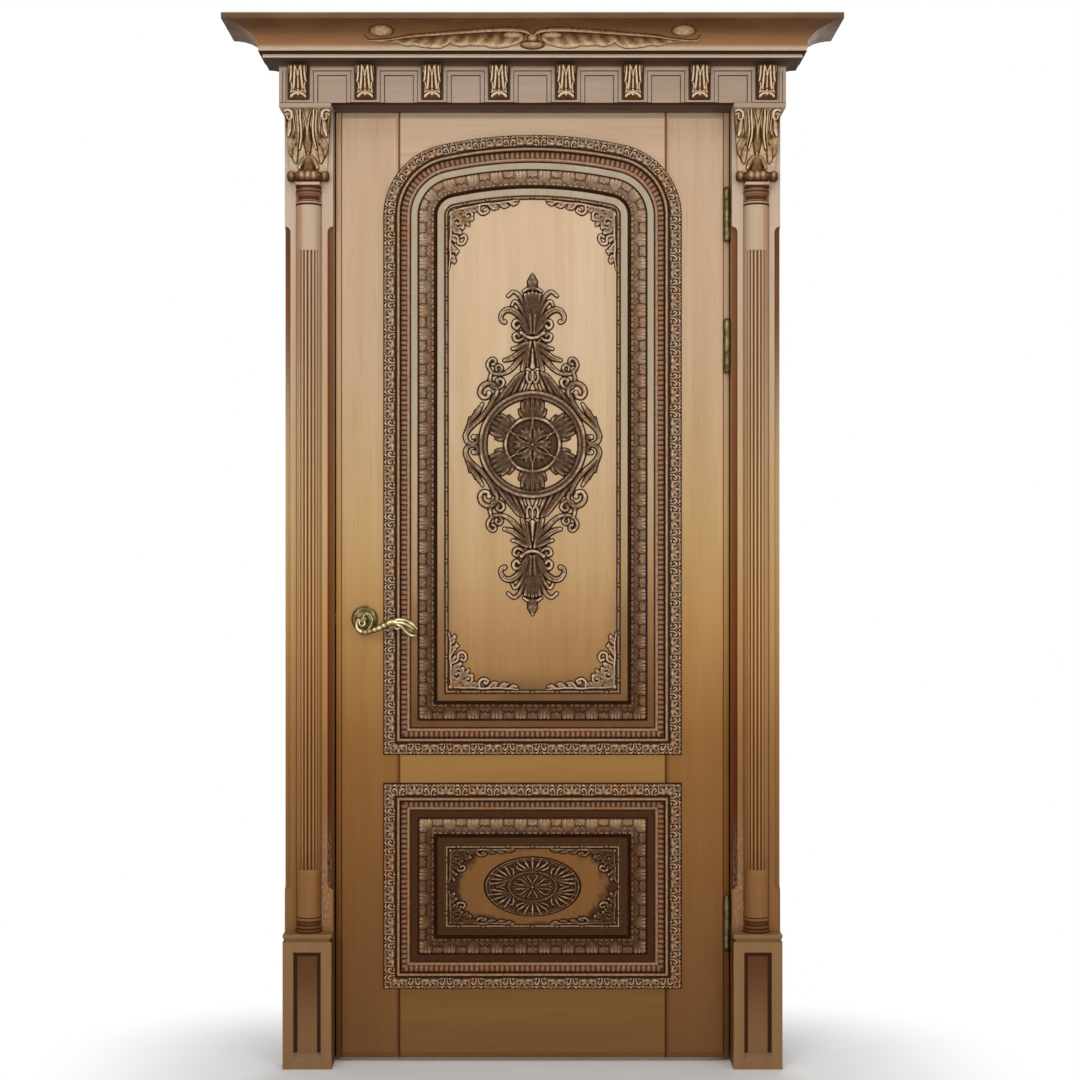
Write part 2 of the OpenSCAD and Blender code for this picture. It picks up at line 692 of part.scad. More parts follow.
// Bracket outline from its foot up: projection and height as shares
bracket_shares = [[0.2, 0], [0.42, 0.03], [0.5, 0.1], [0.42, 0.17], [0.34, 0.26],
  [0.36, 0.4], [0.5, 0.56], [0.74, 0.68], [0.95, 0.78], [1, 0.88], [0.92, 0.96],
  [0.8, 1]];
bracket_foot_share = 0.84;
rib_shares = [-0.34, 0, 0.34];
rib_w_share = 0.2;
rib_rise_share = 0.12;
module bracket_profile(w, grow) {
  translate([-w / 2, 0, bed_z - bracket_h]) rotate([90, 0, 90]) linear_extrude(height = w)
    polygon(concat([[-frieze_rise, bracket_h], [-frieze_rise, 0]],
      [for (p = bracket_shares) [-frieze_rise - p[0] * (bracket_rise - grow) - grow * p[1],
        p[1] * bracket_h]]));
}
module bracket() {
  rib = bracket_rise * rib_rise_share;
  intersection() {
    union() {
      bracket_profile(bracket_w, 0 - rib);
      for (s = rib_shares) translate([s * bracket_w, 0, 0])
        bracket_profile(bracket_w * rib_w_share, 0);
    }
    slab(-frieze_rise - bracket_rise - overrun, -frieze_rise)
      polygon([[-bracket_w / 2 * bracket_foot_share, bed_z - bracket_h],
        [bracket_w / 2 * bracket_foot_share, bed_z - bracket_h],
        [bracket_w / 2, bed_z], [-bracket_w / 2, bed_z]]);
  }
}
module frieze_brackets() {
  color(oak_dark) for (k = [0 : bracket_count - 1]) translate([bracket_x(k), 0, 0]) bracket();
}

// Bed mould: a hollow under a flat band
bed_hollow_share = 0.42;
bed_steps = 5;
module bed_mould() {
  color(oak) translate([0, 0, bed_z]) moulded_block(frieze_x, frieze_rise, wall_set,
    concat([for (k = [0 : bed_steps]) let (a = 90 * k / bed_steps)
      [bed_rise * (1 - cos(a)), bed_h * bed_hollow_share * sin(a)]],
      [[bed_rise, bed_h]]));
}

// Crown: a foot fillet, a deep hollow and a top fillet
crown_foot_share = 0.16;
crown_top_share = 0.8;
crown_steps = 8;
crown_profile = concat([[crown_foot_rise, 0]],
  [for (k = [0 : crown_steps]) let (a = 90 * k / crown_steps)
    [mix(crown_foot_rise, crown_rise, 1 - cos(a)),
      crown_h * mix(crown_foot_share, crown_top_share, sin(a))]],
  [[crown_rise, crown_h]]);
module crown_length(plan) {
  translate([0, 0, crown_z]) difference() {
    intersection() {
      moulded_block(frieze_x, frieze_rise, wall_set, crown_profile);
      linear_extrude(height = crown_h) polygon(plan);
    }
    translate([-frieze_x - crown_in, -frieze_rise - crown_in, -overrun])
      cube([2 * (frieze_x + crown_in), frieze_rise + crown_in + wall_set,
        crown_h + 2 * overrun]);
  }
}
module crown_return() {
  crown_length([[frieze_x + crown_rise, -frieze_rise - crown_rise],
    [frieze_x + crown_rise, wall_set], [frieze_x + crown_in, wall_set],
    [frieze_x + crown_in, -frieze_rise - crown_in]]);
}
module crown_front() {
  color(oak_dark) crown_length([[-frieze_x - crown_rise, -frieze_rise - crown_rise],
    [frieze_x + crown_rise, -frieze_rise - crown_rise],
    [frieze_x + crown_in, -frieze_rise - crown_in],
    [-frieze_x - crown_in, -frieze_rise - crown_in]]);
}
module crown_left_return() { color(oak_dark) sided(-1) crown_return(); }
module crown_right_return() { color(oak_dark) crown_return(); }
module cornice_board() {
  color(oak) translate([-frieze_x - crown_in, -frieze_rise - crown_in,
    crown_z + crown_h - top_board_t])
    cube([2 * (frieze_x + crown_in), frieze_rise + crown_in + wall_set, top_board_t]);
}

// Carving on the crown: a bud, ribbons and drapery, as shares of its half
// width and of the crown's height
crest_shares = [[0, 0.2, 0, 0.5, 0.3, 0.16], [0.1, 0.62, 0.1, 0.62, 0.16, 0.16],
  [0.02, 0.86, 0.42, 0.66, 0.04, 0.06], [0.42, 0.66, 0.82, 0.46, 0.06, 0.04],
  [0.88, 0.7, 0.94, 0.7, 0.14, 0.14], [0.1, 0.34, 0.28, 0.28, 0.12, 0.16],
  [0.28, 0.3, 0.44, 0.28, 0.16, 0.16], [0.5, 0.26, 0.66, 0.24, 0.18, 0.14],
  [0.68, 0.3, 0.84, 0.34, 0.1, 0.08]];
crest_sides = 6;
// The carving's section: the crown's hollow, and a face ahead of it that
// stays behind the top fillet
crest_profile = concat([[0, crown_h * crown_foot_share / 2]],
  [[crown_foot_rise + crest_t, crown_h * crown_foot_share / 2]],
  [for (k = [0 : crown_steps - 2]) let (p = crown_profile[k + 1])
    [min(crown_rise - crest_t / 2, p[0] + crest_t), p[1]]],
  [[0, crown_profile[crown_steps - 1][1]]]);
module crown_carving() {
  color(oak_dark) translate([0, 0, crown_z]) difference() {
    intersection() {
      for (t = crest_shares) for (s = t[2] > 0 ? [-1, 1] : [1]) hull() for (e = [0, 2])
        translate([s * t[e] * crest_w, -frieze_rise, t[e + 1] * crown_h]) rotate([90, 0, 0])
          cylinder(h = crown_rise, r = t[4 + e / 2] * crown_h, $fn = crest_sides);
      translate([-crest_w - crown_h, 0, 0]) rotate([90, 0, 90])
        linear_extrude(height = 2 * (crest_w + crown_h))
          polygon([for (p = crest_profile) [-frieze_rise - p[0], p[1]]]);
    }
    translate([-crest_w - crown_h - overrun, 0, 0]) rotate([90, 0, 90])
      linear_extrude(height = 2 * (crest_w + crown_h + overrun))
        polygon(concat([[0, -overrun]], [[-frieze_rise - crown_foot_rise, -overrun]],
          [for (p = crown_profile) [-frieze_rise - p[0], p[1]]],
          [[-frieze_rise - crown_rise, crown_h + overrun], [0, crown_h + overrun]]));
  }
}

// Hinges: the frame's knuckle is the lower one, the leaf's is the upper one

hinge_zs = [hinge_top_z, hinge_mid_z, hinge_low_z];
knuckle_gap = 0.3;
washer_h = 1;
finial_h = 5;
// Plates keep this far behind the other plate's knuckle
knuckle_clear = 0.6;
knuckle_y = -hinge_rise;
function knuckle_back(x) = sqrt(pow(knuckle_r, 2) - pow(x - hinge_x, 2)) - hinge_rise;
frame_plate_x = open_x - hinge_t;
leaf_plate_x = leaf_w / 2 - hinge_t;
frame_plate_y = max(0, knuckle_back(frame_plate_x)) + knuckle_clear;
leaf_plate_y = knuckle_back(leaf_plate_x) + knuckle_clear;

module hinge_frame_plate(z) {
  color(brass) difference() {
    union() {
      translate([hinge_x, knuckle_y, z - hinge_h / 2])
        cylinder(h = (hinge_h - washer_h) / 2, r = knuckle_r);
      translate([frame_plate_x, knuckle_y, z - hinge_h / 2])
        cube([hinge_t, hinge_rise + frame_plate_y + overrun, (hinge_h - washer_h) / 2]);
      translate([frame_plate_x, frame_plate_y, z - hinge_h / 2])
        cube([hinge_t, hinge_d, hinge_h]);
    }
    translate([hinge_x, knuckle_y, z - hinge_h / 2 - overrun])
      cylinder(h = hinge_h, r = pin_r);
  }
}
module hinge_leaf_plate(z) {
  z0 = z + washer_h / 2 + knuckle_gap;
  h = hinge_h / 2 - washer_h / 2 - knuckle_gap;
  color(brass) difference() {
    union() {
      translate([hinge_x, knuckle_y, z0]) cylinder(h = h, r = knuckle_r);
      translate([hinge_x, knuckle_y, z0 + h])
        cylinder(h = finial_h, r1 = knuckle_r, r2 = pin_r);
      translate([leaf_plate_x, knuckle_y, z0])
        cube([hinge_t, hinge_rise + leaf_plate_y + overrun, h]);
      translate([leaf_plate_x, leaf_plate_y, z - hinge_h / 2])
        cube([hinge_t, hinge_d - bevel_d, hinge_h]);
    }
    translate([hinge_x, knuckle_y, z - hinge_h])
      cylinder(h = 3 / 2 * hinge_h - finial_h, r = pin_r + turn_gap);
  }
}
// Cut in the hinge stile for a hinge: room for both knuckles and the plate
module hinge_seat(z) {
  translate([hinge_x, knuckle_y, z - hinge_h / 2 - finial_h])
    cylinder(h = hinge_h + 2 * finial_h + knuckle_gap, r = knuckle_r + knuckle_clear);
  translate([leaf_plate_x, -overrun, z - hinge_h / 2])
    cube([hinge_t + overrun, overrun + leaf_plate_y + hinge_d - bevel_d, hinge_h]);
}
module top_hinge_frame_plate() { hinge_frame_plate(hinge_top_z); }
module middle_hinge_frame_plate() { hinge_frame_plate(hinge_mid_z); }
module bottom_hinge_frame_plate() { hinge_frame_plate(hinge_low_z); }
module top_hinge_leaf_plate() { hinge_leaf_plate(hinge_top_z); }
module middle_hinge_leaf_plate() { hinge_leaf_plate(hinge_mid_z); }
module bottom_hinge_leaf_plate() { hinge_leaf_plate(hinge_low_z); }
module hinge_pins() {
  color(brass) for (z = hinge_zs) translate([hinge_x, knuckle_y, z - hinge_h / 2]) {
    translate([0, 0, -finial_h]) cylinder(h = finial_h, r1 = pin_r, r2 = knuckle_r);
    cylinder(h = hinge_h - 2 * finial_h, r = pin_r);
    translate([0, 0, (hinge_h - washer_h) / 2]) cylinder(h = washer_h, r = knuckle_r);
  }
}

// Leaf

module leaf_envelope() {
  w = leaf_w / 2;
  intersection() {
    translate([0, 0, leaf_z0]) linear_extrude(height = leaf_h)
      polygon([[-w, leaf_t], [-w, bevel_d], [bevel_w - w, 0], [w - bevel_w, 0],
        [w, bevel_d], [w, leaf_t]]);
    translate([-w, 0, 0]) rotate([90, 0, 90]) linear_extrude(height = leaf_w)
      polygon([[leaf_t, leaf_z0], [bevel_d, leaf_z0], [0, leaf_z0 + bevel_w],
        [0, leaf_z1 - bevel_w], [bevel_d, leaf_z1], [leaf_t, leaf_z1]]);
  }
}
// Grooves for the panels' tongues
module panel_grooves() {
  for (ring = [UPPER, LOWER])
    slab(tongue_set - fit_gap, tongue_set + tongue_t + fit_gap)
      polygon(outline(ring, -tongue_l - panel_gap));
}
// Rails' tenons: foot and top of each
tenon_inset = 34;
tenon_top_h = 84;
tenon_zs = [[leaf_z0 + tenon_inset, lower_z0 - tenon_inset],
  [lower_z1 + tenon_inset, upper_z0 - tenon_inset],
  [leaf_z1 - tenon_inset - tenon_top_h, leaf_z1 - tenon_inset]];
tenon_y = (leaf_t - tenon_t) / 2;
tenon_end_gap = 2;
module tenons(k, more) {
  for (s = [-1, 1]) sided(s)
    translate([panel_half - overrun, tenon_y, tenon_zs[k][0]])
      cube([tenon_l + more + overrun, tenon_t, tenon_zs[k][1] - tenon_zs[k][0]]);
}
module stile(side) {
  difference() {
    intersection() {
      leaf_envelope();
      sided(side) translate([panel_half, 0, leaf_z0]) cube([stile_w, leaf_t, leaf_h]);
    }
    panel_grooves();
    for (k = [0 : 2]) tenons(k, tenon_end_gap);
    sided(side) translate([panel_half - overrun, -overrun, leaf_z0 - overrun])
      cube([joint_line_w + overrun, joint_line_d + overrun, leaf_h + 2 * overrun]);
    children();
  }
}
spindle_hole_r = spindle_w;
module lock_stile() {
  color(oak) stile(-1) {
    translate([-leaf_w / 2 - overrun, latch_y - case_t / 2 - fit_gap,
      handle_z - case_h / 2 - fit_gap])
      cube([case_l + fit_gap + overrun, case_t + 2 * fit_gap, case_h + 2 * fit_gap]);
    translate([-leaf_w / 2 - overrun, latch_y - plate_w / 2 - fit_gap,
      handle_z - forend_h / 2 - fit_gap])
      cube([plate_t + overrun, plate_w + 2 * fit_gap, forend_h + 2 * fit_gap]);
    translate([handle_x, leaf_t + overrun, handle_z]) rotate([90, 0, 0])
      cylinder(h = leaf_t + 2 * overrun, r = spindle_hole_r);
  }
}
module hinge_stile() {
  color(oak) stile(1) { for (z = hinge_zs) hinge_seat(z); }
}
module rail(k, z0, z1) {
  difference() {
    union() {
      intersection() {
        leaf_envelope();
        translate([-panel_half, 0, z0]) cube([2 * panel_half, leaf_t, z1 - z0]);
      }
      tenons(k, 0);
    }
    panel_grooves();
    children();
  }
}
module bottom_rail() { color(oak) rail(0, leaf_z0, lower_z0); }
module middle_rail() { color(oak) rail(1, lower_z1, upper_z0); }
module top_rail() {
  color(oak) rail(2, shoulder_z, leaf_z1)
    slab(-overrun, leaf_t + overrun) polygon(outline(UPPER, 0));
}

module panel(ring) {
  slab(tongue_set, tongue_set + tongue_t) polygon(outline(ring, -tongue_l));
  slab(-panel_rise, panel_back) polygon(outline(ring, panel_gap));
  slab(-field_rise, 0) polygon(outline(ring, tongue_o1 + quirk_w));
}
module upper_panel() { color(oak_pale) panel(UPPER); }
module lower_panel() { color(oak_pale) panel(LOWER); }

// Carved band: leaf tips and the hollows between them
band_crest_share = 0.82;
band_mid_share = 0.5;
band_sections = [
  [[-band_lap, 0], [-band_lap * band_mid_share, band_h * band_crest_share],
    [0, band_h], [0, 0]],
  [[-band_lap + band_relief, 0],
    [-band_lap * band_mid_share, band_h * band_crest_share - band_relief],
    [0, band_h], [0, 0]]];
module upper_leaf_band() { color(oak_dark) carved_ring(UPPER, 0, band_pitch, band_sections); }
module lower_leaf_band() { color(oak_dark) carved_ring(LOWER, 0, band_pitch, band_sections); }

// Dentil course: a strip with square teeth towards the panel
module dentils(ring) {
  tip = dentil_w;
  comb = [for (p = stations(ring, 0, dentil_pitch, 2))
    each [for (o = p[2] == 0 ? [dentil_strip_w, tip] : [tip, dentil_strip_w])
      ring_pt(ring, p[0], p[1], o)]];
  edge = outline(ring, panel_gap);
  slab(-panel_rise - dentil_h, -panel_rise)
    polygon(concat(edge, comb), [[for (i = [0 : len(edge) - 1]) i],
      [for (i = [0 : len(comb) - 1]) len(edge) + i]]);
}
module upper_dentils() { color(oak_dark) dentils(UPPER); }
module lower_dentils() { color(oak_dark) dentils(LOWER); }

// Leaf-and-tongue moulding: two places on a leaf and one on a tongue
tongue_mid_share = 0.5;
tongue_low_share = 0.5;
tongue_high_share = 0.85;
function tongue_section(mid, edge) =
  [[tongue_o0 + edge, panel_rise],
    [tongue_o0 + tongue_mould_w * tongue_mid_share, panel_rise + mid],
    [tongue_o1, panel_rise + tongue_mould_h], [tongue_o1, panel_rise]];
tongue_sections = [
  tongue_section(tongue_mould_h * tongue_high_share, 0),
  tongue_section(tongue_mould_h * tongue_high_share, 0),
  tongue_section(tongue_mould_h * tongue_high_share - tongue_relief, tongue_relief)];
module upper_tongue_mould() {
  color(oak_pale) carved_ring(UPPER, tongue_o0, tongue_pitch, tongue_sections);
}
module lower_tongue_mould() {
  color(oak_pale) carved_ring(LOWER, tongue_o0, tongue_pitch, tongue_sections);
}

// Reed border with a knot at each pitch
knot_swell_share = 0.2;
module reed(ring) {
  places = stations(ring, reed_o0, knot_pitch, 4);
  swell = reed_w * knot_swell_share;
  slab(-field_rise - reed_h, -field_rise) difference() {
    polygon([for (p = places) ring_pt(ring, p[0], p[1], reed_o0 - (p[2] == 2 ? swell : 0))]);
    polygon([for (p = places) ring_pt(ring, p[0], p[1], reed_o1 + (p[2] == 2 ? swell : 0))]);
  }
}
module upper_reed() { color(oak_dark) reed(UPPER); }
module lower_reed() { color(oak_dark) reed(LOWER); }

// Plain moulding in two steps round the back of a panel
back_step_share = 0.55;
module back_mould(ring) {
  slab(panel_back, panel_back + back_mould_t * back_step_share)
    border(ring, panel_gap, back_mould_w);
  slab(panel_back, panel_back + back_mould_t)
    border(ring, panel_gap, back_mould_w * back_step_share);
}
module upper_back_mould() { color(oak) back_mould(UPPER); }
module lower_back_mould() { color(oak) back_mould(LOWER); }

// Upper medallion: a ring and a hub joined by six leaves, with the same
// plumes, scrolls and buds above and below. Shares are of the half height.
medallion_shares = [
  [0, 0.9, 0, 0.985, 0.032, 0.012], [0, 0.77, 0, 0.89, 0.045, 0.05],
  [-0.02, 0.77, -0.075, 0.89, 0.03, 0.03], [-0.03, 0.74, -0.115, 0.825, 0.03, 0.03],
  [-0.04, 0.71, -0.165, 0.79, 0.03, 0.035], [-0.165, 0.79, -0.165, 0.735, 0.03, 0.025],
  [-0.03, 0.66, -0.09, 0.7, 0.025, 0.03], [0, 0.645, -0.07, 0.645, 0.028, 0.018],
  [-0.04, 0.62, -0.115, 0.565, 0.028, 0.03], [-0.05, 0.6, -0.165, 0.5, 0.028, 0.02],
  [0, 0.54, 0, 0.43, 0.018, 0.032], [0, 0.41, 0, 0.33, 0.05, 0.03],
  [-0.05, 0.43, -0.235, 0.24, 0.03, 0.045], [-0.165, 0.5, -0.245, 0.48, 0.02, 0.03],
  [-0.21, 0.44, -0.25, 0.385, 0.03, 0.018], [-0.25, 0.385, -0.2, 0.33, 0.018, 0.026],
  [-0.282, 0.312, -0.282, 0.312, 0.05, 0.05], [-0.285, 0.3, -0.31, 0.2, 0.03, 0.025],
  [-0.32, 0.23, -0.392, 0.115, 0.025, 0.03], [-0.392, 0.115, -0.402, 0.03, 0.03, 0.018],
  [-0.402, 0.03, -0.366, 0.03, 0.018, 0.028]];
ring_shares = [[0, 0], [0.25, 0.8], [0.75, 0.8], [1, 0]];
hub_shares = [[0, 0], [1, 0], [0.92, 0.7], [0.6, 0.45], [0.25, 1], [0, 1]];
petal_shares = [[0.8, 0, 1.62, 0, 0.2, 0.22], [1.2, 0.18, 1.5, 0.36, 0.16, 0.14],
  [1.2, -0.18, 1.5, -0.36, 0.16, 0.14]];
star_shares = [[0.2, 0, 0.75, 0, 0.12, 0.18]];
module upper_medallion() {
  color(oak_dark) {
    translate([0, 0, medallion_z]) for (sz = [0, 1]) mirror([0, 0, sz]) for (sx = [0, 1])
      mirror([sx, 0, 0])
        lobes(medallion_shares, medallion_h, medallion_h, medallion_h, field_rise, carving_h);
    translate([0, -field_rise, medallion_z]) rotate([90, 0, 0]) {
      rotate_extrude($fn = 24) polygon([for (p = ring_shares)
        [ring_r - ring_w + p[0] * ring_w, p[1] * carving_h]]);
      rotate_extrude($fn = 16) polygon([for (p = hub_shares)
        [p[0] * hub_r, p[1] * carving_h]]);
    }
    translate([0, 0, medallion_z]) for (a = [30 : 60 : 330]) rotate([0, -a, 0]) {
      lobes(petal_shares, hub_r, hub_r, hub_r, field_rise, carving_h);
      lobes(star_shares, hub_r, hub_r, hub_r, field_rise, carving_h);
    }
  }
}

// Lower medallion: an oval rosette with a rim, long leaves and a flower
oval_leaves = 10;
oval_sides = 32;
oval_seat_h_share = 0.35;
oval_rim_h_share = 0.6;
oval_rim_w_share = 0.12;
oval_eye_share = 0.46;
oval_eye_h_share = 0.7;
oval_leaf_h_share = 0.85;
oval_leaf_in_share = 0.4;
oval_leaf_out_share = 0.94;
oval_petal_out_share = 0.4;
oval_petal_in_share = 0.06;
// Leaf outline: share of its length, share of its half width
oval_leaf_outline = [[0, 0.45], [0.35, 0.7], [0.5, 0.6], [0.72, 1], [0.84, 0.8], [1, 0]];
module oval(share, h) {
  linear_extrude(height = h) polygon([for (k = [0 : oval_sides - 1])
    let (a = 360 * k / oval_sides)
      [oval_w / 2 * share * cos(a), oval_h / 2 * share * sin(a)]]);
}
module oval_leaves(in_share, out_share, turn, h) {
  half = oval_h / 2 * sin(180 / oval_leaves) * out_share;
  linear_extrude(height = h) for (k = [0 : oval_leaves - 1]) {
    a = 360 * (k + turn) / oval_leaves;
    p = [oval_w / 2 * cos(a), oval_h / 2 * sin(a)];
    n = [-p[1], p[0]] / norm(p);
    polygon(concat(
      [for (t = oval_leaf_outline) p * mix(in_share, out_share, t[0]) + n * half * t[1]],
      [for (i = [len(oval_leaf_outline) - 2 : -1 : 0]) let (t = oval_leaf_outline[i])
        p * mix(in_share, out_share, t[0]) - n * half * t[1]]));
  }
}
module lower_medallion() {
  color(oak_dark) translate([0, -field_rise, (lower_z0 + lower_z1) / 2]) rotate([90, 0, 0]) {
    oval(1 - oval_rim_w_share, carving_h * oval_seat_h_share);
    difference() {
      oval(1, carving_h * oval_rim_h_share);
      translate([0, 0, -overrun])
        oval(1 - oval_rim_w_share, carving_h * oval_rim_h_share + 2 * overrun);
    }
    oval(oval_eye_share, carving_h * oval_eye_h_share);
    oval_leaves(oval_leaf_in_share, oval_leaf_out_share, 1 / 2, carving_h * oval_leaf_h_share);
    oval_leaves(oval_petal_in_share, oval_petal_out_share, 0, carving_h);
  }
}

// Corner carvings: scrolls that run both ways from a corner, as shares of
// the carving's length and height
corner_shares = [[0.03, 0.04, 0.24, 0.28, 0.05, 0.07], [0.06, 0.05, 0.36, 0.1, 0.04, 0.05],
  [0.36, 0.1, 0.66, 0.06, 0.05, 0.035], [0.66, 0.06, 0.98, 0.03, 0.035, 0.015],
  [0.36, 0.1, 0.46, 0.24, 0.04, 0.04], [0.6, 0.08, 0.7, 0.16, 0.03, 0.03],
  [0.05, 0.06, 0.1, 0.4, 0.04, 0.05], [0.1, 0.4, 0.05, 0.68, 0.05, 0.03],
  [0.05, 0.68, 0.03, 0.98, 0.03, 0.015], [0.1, 0.4, 0.2, 0.5, 0.04, 0.035]];
corner_inset = 8;
module corner_carving(x, z, flip, h) {
  for (sx = [0, 1]) mirror([sx, 0, 0]) translate([x, 0, z]) mirror([0, 0, flip])
    lobes(corner_shares, corner_w, h, corner_w, field_rise, carving_h * lobe_sink_share);
}
corner_x = -panel_half + reed_o1 + corner_inset;
module upper_corner_carvings() {
  color(oak_dark) {
    corner_carving(corner_x, upper_z0 + reed_o1 + corner_inset, 0, corner_h);
    corner_carving(corner_x, shoulder_z + shoulder_r - reed_o1 - corner_inset, 1, corner_h);
  }
}
module lower_corner_carvings() {
  color(oak_dark) {
    corner_carving(corner_x, lower_z0 + reed_o1 + corner_inset, 0, low_corner_h);
    corner_carving(corner_x, lower_z1 - reed_o1 - corner_inset, 1, low_corner_h);
  }
}

// Latch and handle

bolt_tail = 34;
module bolt_room(gap, more) {
  translate([-leaf_w / 2 - overrun, latch_y - bolt_w / 2 - gap, handle_z - bolt_h / 2 - gap])
    cube([bolt_tail + more + overrun, bolt_w + 2 * gap, bolt_h + 2 * gap]);
}
module latch_case() {
  color(brass) difference() {
    union() {
      translate([-leaf_w / 2, latch_y - case_t / 2, handle_z - case_h / 2])
        cube([case_l, case_t, case_h]);
      translate([-leaf_w / 2, latch_y - plate_w / 2, handle_z - forend_h / 2])
        cube([plate_t, plate_w, forend_h]);
    }
    bolt_room(fit_gap, bolt_throw + strike_gap);
    translate([handle_x, leaf_t, handle_z]) rotate([90, 0, 0])
      cylinder(h = leaf_t, r = spindle_hole_r - fit_gap);
  }
}
module latch_bolt() {
  nose = bolt_throw * bolt_nose_share;
  color(brass) translate([-leaf_w / 2, latch_y, handle_z - bolt_h / 2])
    linear_extrude(height = bolt_h)
      polygon([[bolt_tail, -bolt_w / 2], [bolt_tail, bolt_w / 2], [0, bolt_w / 2],
        [-nose, -bolt_w / 2 + bolt_throw - nose], [-nose, -bolt_w / 2]]);
}
bolt_nose_share = 0.8;
module spindle() {
  color(brass) translate([handle_x - spindle_w / 2, -rose_t - spindle_in,
    handle_z - spindle_w / 2])
    cube([spindle_w, leaf_t + 2 * (rose_t + spindle_in), spindle_w]);
}

// Rose outline: radius and height as shares, from the bore out
rose_shares = [[0.62, 1], [0.7, 0.8], [0.84, 0.72], [0.92, 0.5], [1, 0.36], [1, 0]];
module rose() {
  bore = neck_r + turn_gap;
  translate([handle_x, 0, handle_z]) rotate([90, 0, 0]) rotate_extrude()
    polygon(concat([[bore, 0], [bore, rose_t]],
      [for (p = rose_shares) [p[0] * rose_r, p[1] * rose_t]]));
}
// The levers' line from the neck, and its half width and half depth
lever_shares = [[0, 0], [-0.08, -0.08], [-0.06, -0.19], [0.05, -0.24], [0.17, -0.23],
  [0.37, -0.16], [0.54, -0.09], [0.7, -0.12], [0.85, -0.18], [1, -0.21]];
lever_wide_shares = [1.1, 0.9, 0.8, 0.75, 0.7, 0.65, 0.65, 0.95, 0.95, 0.3];
lever_deep_shares = [0.8, 0.75, 0.75, 0.7, 0.65, 0.6, 0.55, 0.5, 0.45, 0.3];
module lever() {
  translate([handle_x, 0, handle_z]) {
    tube([for (p = lever_shares) [p[0] * lever_l, -lever_reach, p[1] * lever_l]],
      lever_wide_shares * lever_t, lever_deep_shares * lever_t);
    difference() {
      rotate([90, 0, 0]) cylinder(h = lever_reach, r = neck_r);
      translate([-spindle_w / 2 - turn_gap, -rose_t - spindle_in - turn_gap,
        -spindle_w / 2 - turn_gap])
        cube([spindle_w + 2 * turn_gap, rose_t + spindle_in + turn_gap + overrun,
          spindle_w + 2 * turn_gap]);
    }
  }
}
module to_back() { translate([0, leaf_t, 0]) mirror([0, 1, 0]) children(); }
module front_rose() { color(brass) rose(); }
module back_rose() { color(brass) to_back() rose(); }
module front_lever() { color(brass) lever(); }
module back_lever() { color(brass) to_back() lever(); }

translate([0, set_y, 0]) {
  left_jamb();
  right_jamb();
  head_jamb();
  left_pilaster();
  right_pilaster();
  left_column();
  right_column();
  left_plinth();
  right_plinth();
  left_plinth_cap();
  right_plinth_cap();
  left_console();
  right_console();
  frieze();
  frieze_brackets();
  bed_mould();
  crown_front();
  crown_left_return();
  crown_right_return();
  cornice_board();
  crown_carving();
  strike_plate();
  top_hinge_frame_plate();
  middle_hinge_frame_plate();
  bottom_hinge_frame_plate();
  hinge_pins();
  lock_stile();
  hinge_stile();
  top_rail();
  middle_rail();
  bottom_rail();
  upper_panel();
  upper_leaf_band();
  upper_dentils();
  upper_tongue_mould();
  upper_reed();
  upper_corner_carvings();
  upper_medallion();
  upper_back_mould();
  lower_panel();
  lower_leaf_band();
  lower_dentils();
  lower_tongue_mould();
  lower_reed();
  lower_corner_carvings();
  lower_medallion();
  lower_back_mould();
  top_hinge_leaf_plate();
  middle_hinge_leaf_plate();
  bottom_hinge_leaf_plate();
  latch_case();
  front_rose();
  back_rose();
  front_lever();
  back_lever();
  spindle();
  latch_bolt();
}
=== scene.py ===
import bpy
import numpy as np
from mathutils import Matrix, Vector

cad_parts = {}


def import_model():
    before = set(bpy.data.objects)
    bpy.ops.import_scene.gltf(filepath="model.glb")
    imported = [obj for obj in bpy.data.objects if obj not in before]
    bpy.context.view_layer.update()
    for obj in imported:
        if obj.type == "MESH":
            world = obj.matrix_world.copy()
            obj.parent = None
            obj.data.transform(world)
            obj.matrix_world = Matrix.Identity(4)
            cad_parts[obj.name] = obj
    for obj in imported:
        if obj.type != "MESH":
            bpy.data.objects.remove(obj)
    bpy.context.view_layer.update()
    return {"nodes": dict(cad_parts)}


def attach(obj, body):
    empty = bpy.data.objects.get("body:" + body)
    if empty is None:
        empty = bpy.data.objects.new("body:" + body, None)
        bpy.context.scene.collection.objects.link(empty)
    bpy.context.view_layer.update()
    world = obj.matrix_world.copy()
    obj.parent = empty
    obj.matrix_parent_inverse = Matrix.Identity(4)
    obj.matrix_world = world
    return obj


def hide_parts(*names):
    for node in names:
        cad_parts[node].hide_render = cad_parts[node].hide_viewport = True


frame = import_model()

# Sizes in millimetres, as in the part's source
MM = 0.001
FACE_Y = 24.0
FIELD = 9.0
PANEL_HALF = 282.0
# Inset of the reed's inner edge, where the carved field begins
FIELD_INSET = 106.0
FIELD_X = PANEL_HALF - FIELD_INSET
OPEN_X = 416.5
UPPER_Z0 = 677.0
LOWER_Z0, LOWER_Z1 = 186.0, 556.0
ARCH_R, ARCH_C = 868.0, 1048.0
SHOULDER_R, SHOULDER_X = 122.0, 160.0
ARCH_A = np.arcsin(SHOULDER_X / (ARCH_R - SHOULDER_R))
SHOULDER_Z = ARCH_C + (ARCH_R - SHOULDER_R) * np.cos(ARCH_A)
MEDALLION_Z = 1296.5
COLUMN_X = 467.0
PILASTER_RISE, PLINTH_RISE = 22.0, 60.0
PILASTER_Y, PLINTH_Y = FACE_Y - PILASTER_RISE, FACE_Y - PLINTH_RISE
CONSOLE_Z, CONSOLE_TOP, CONSOLE_W = 1862.0, 1990.0, 95.0
CONSOLE_H, CONSOLE_RISE = CONSOLE_TOP - CONSOLE_Z, 44.0
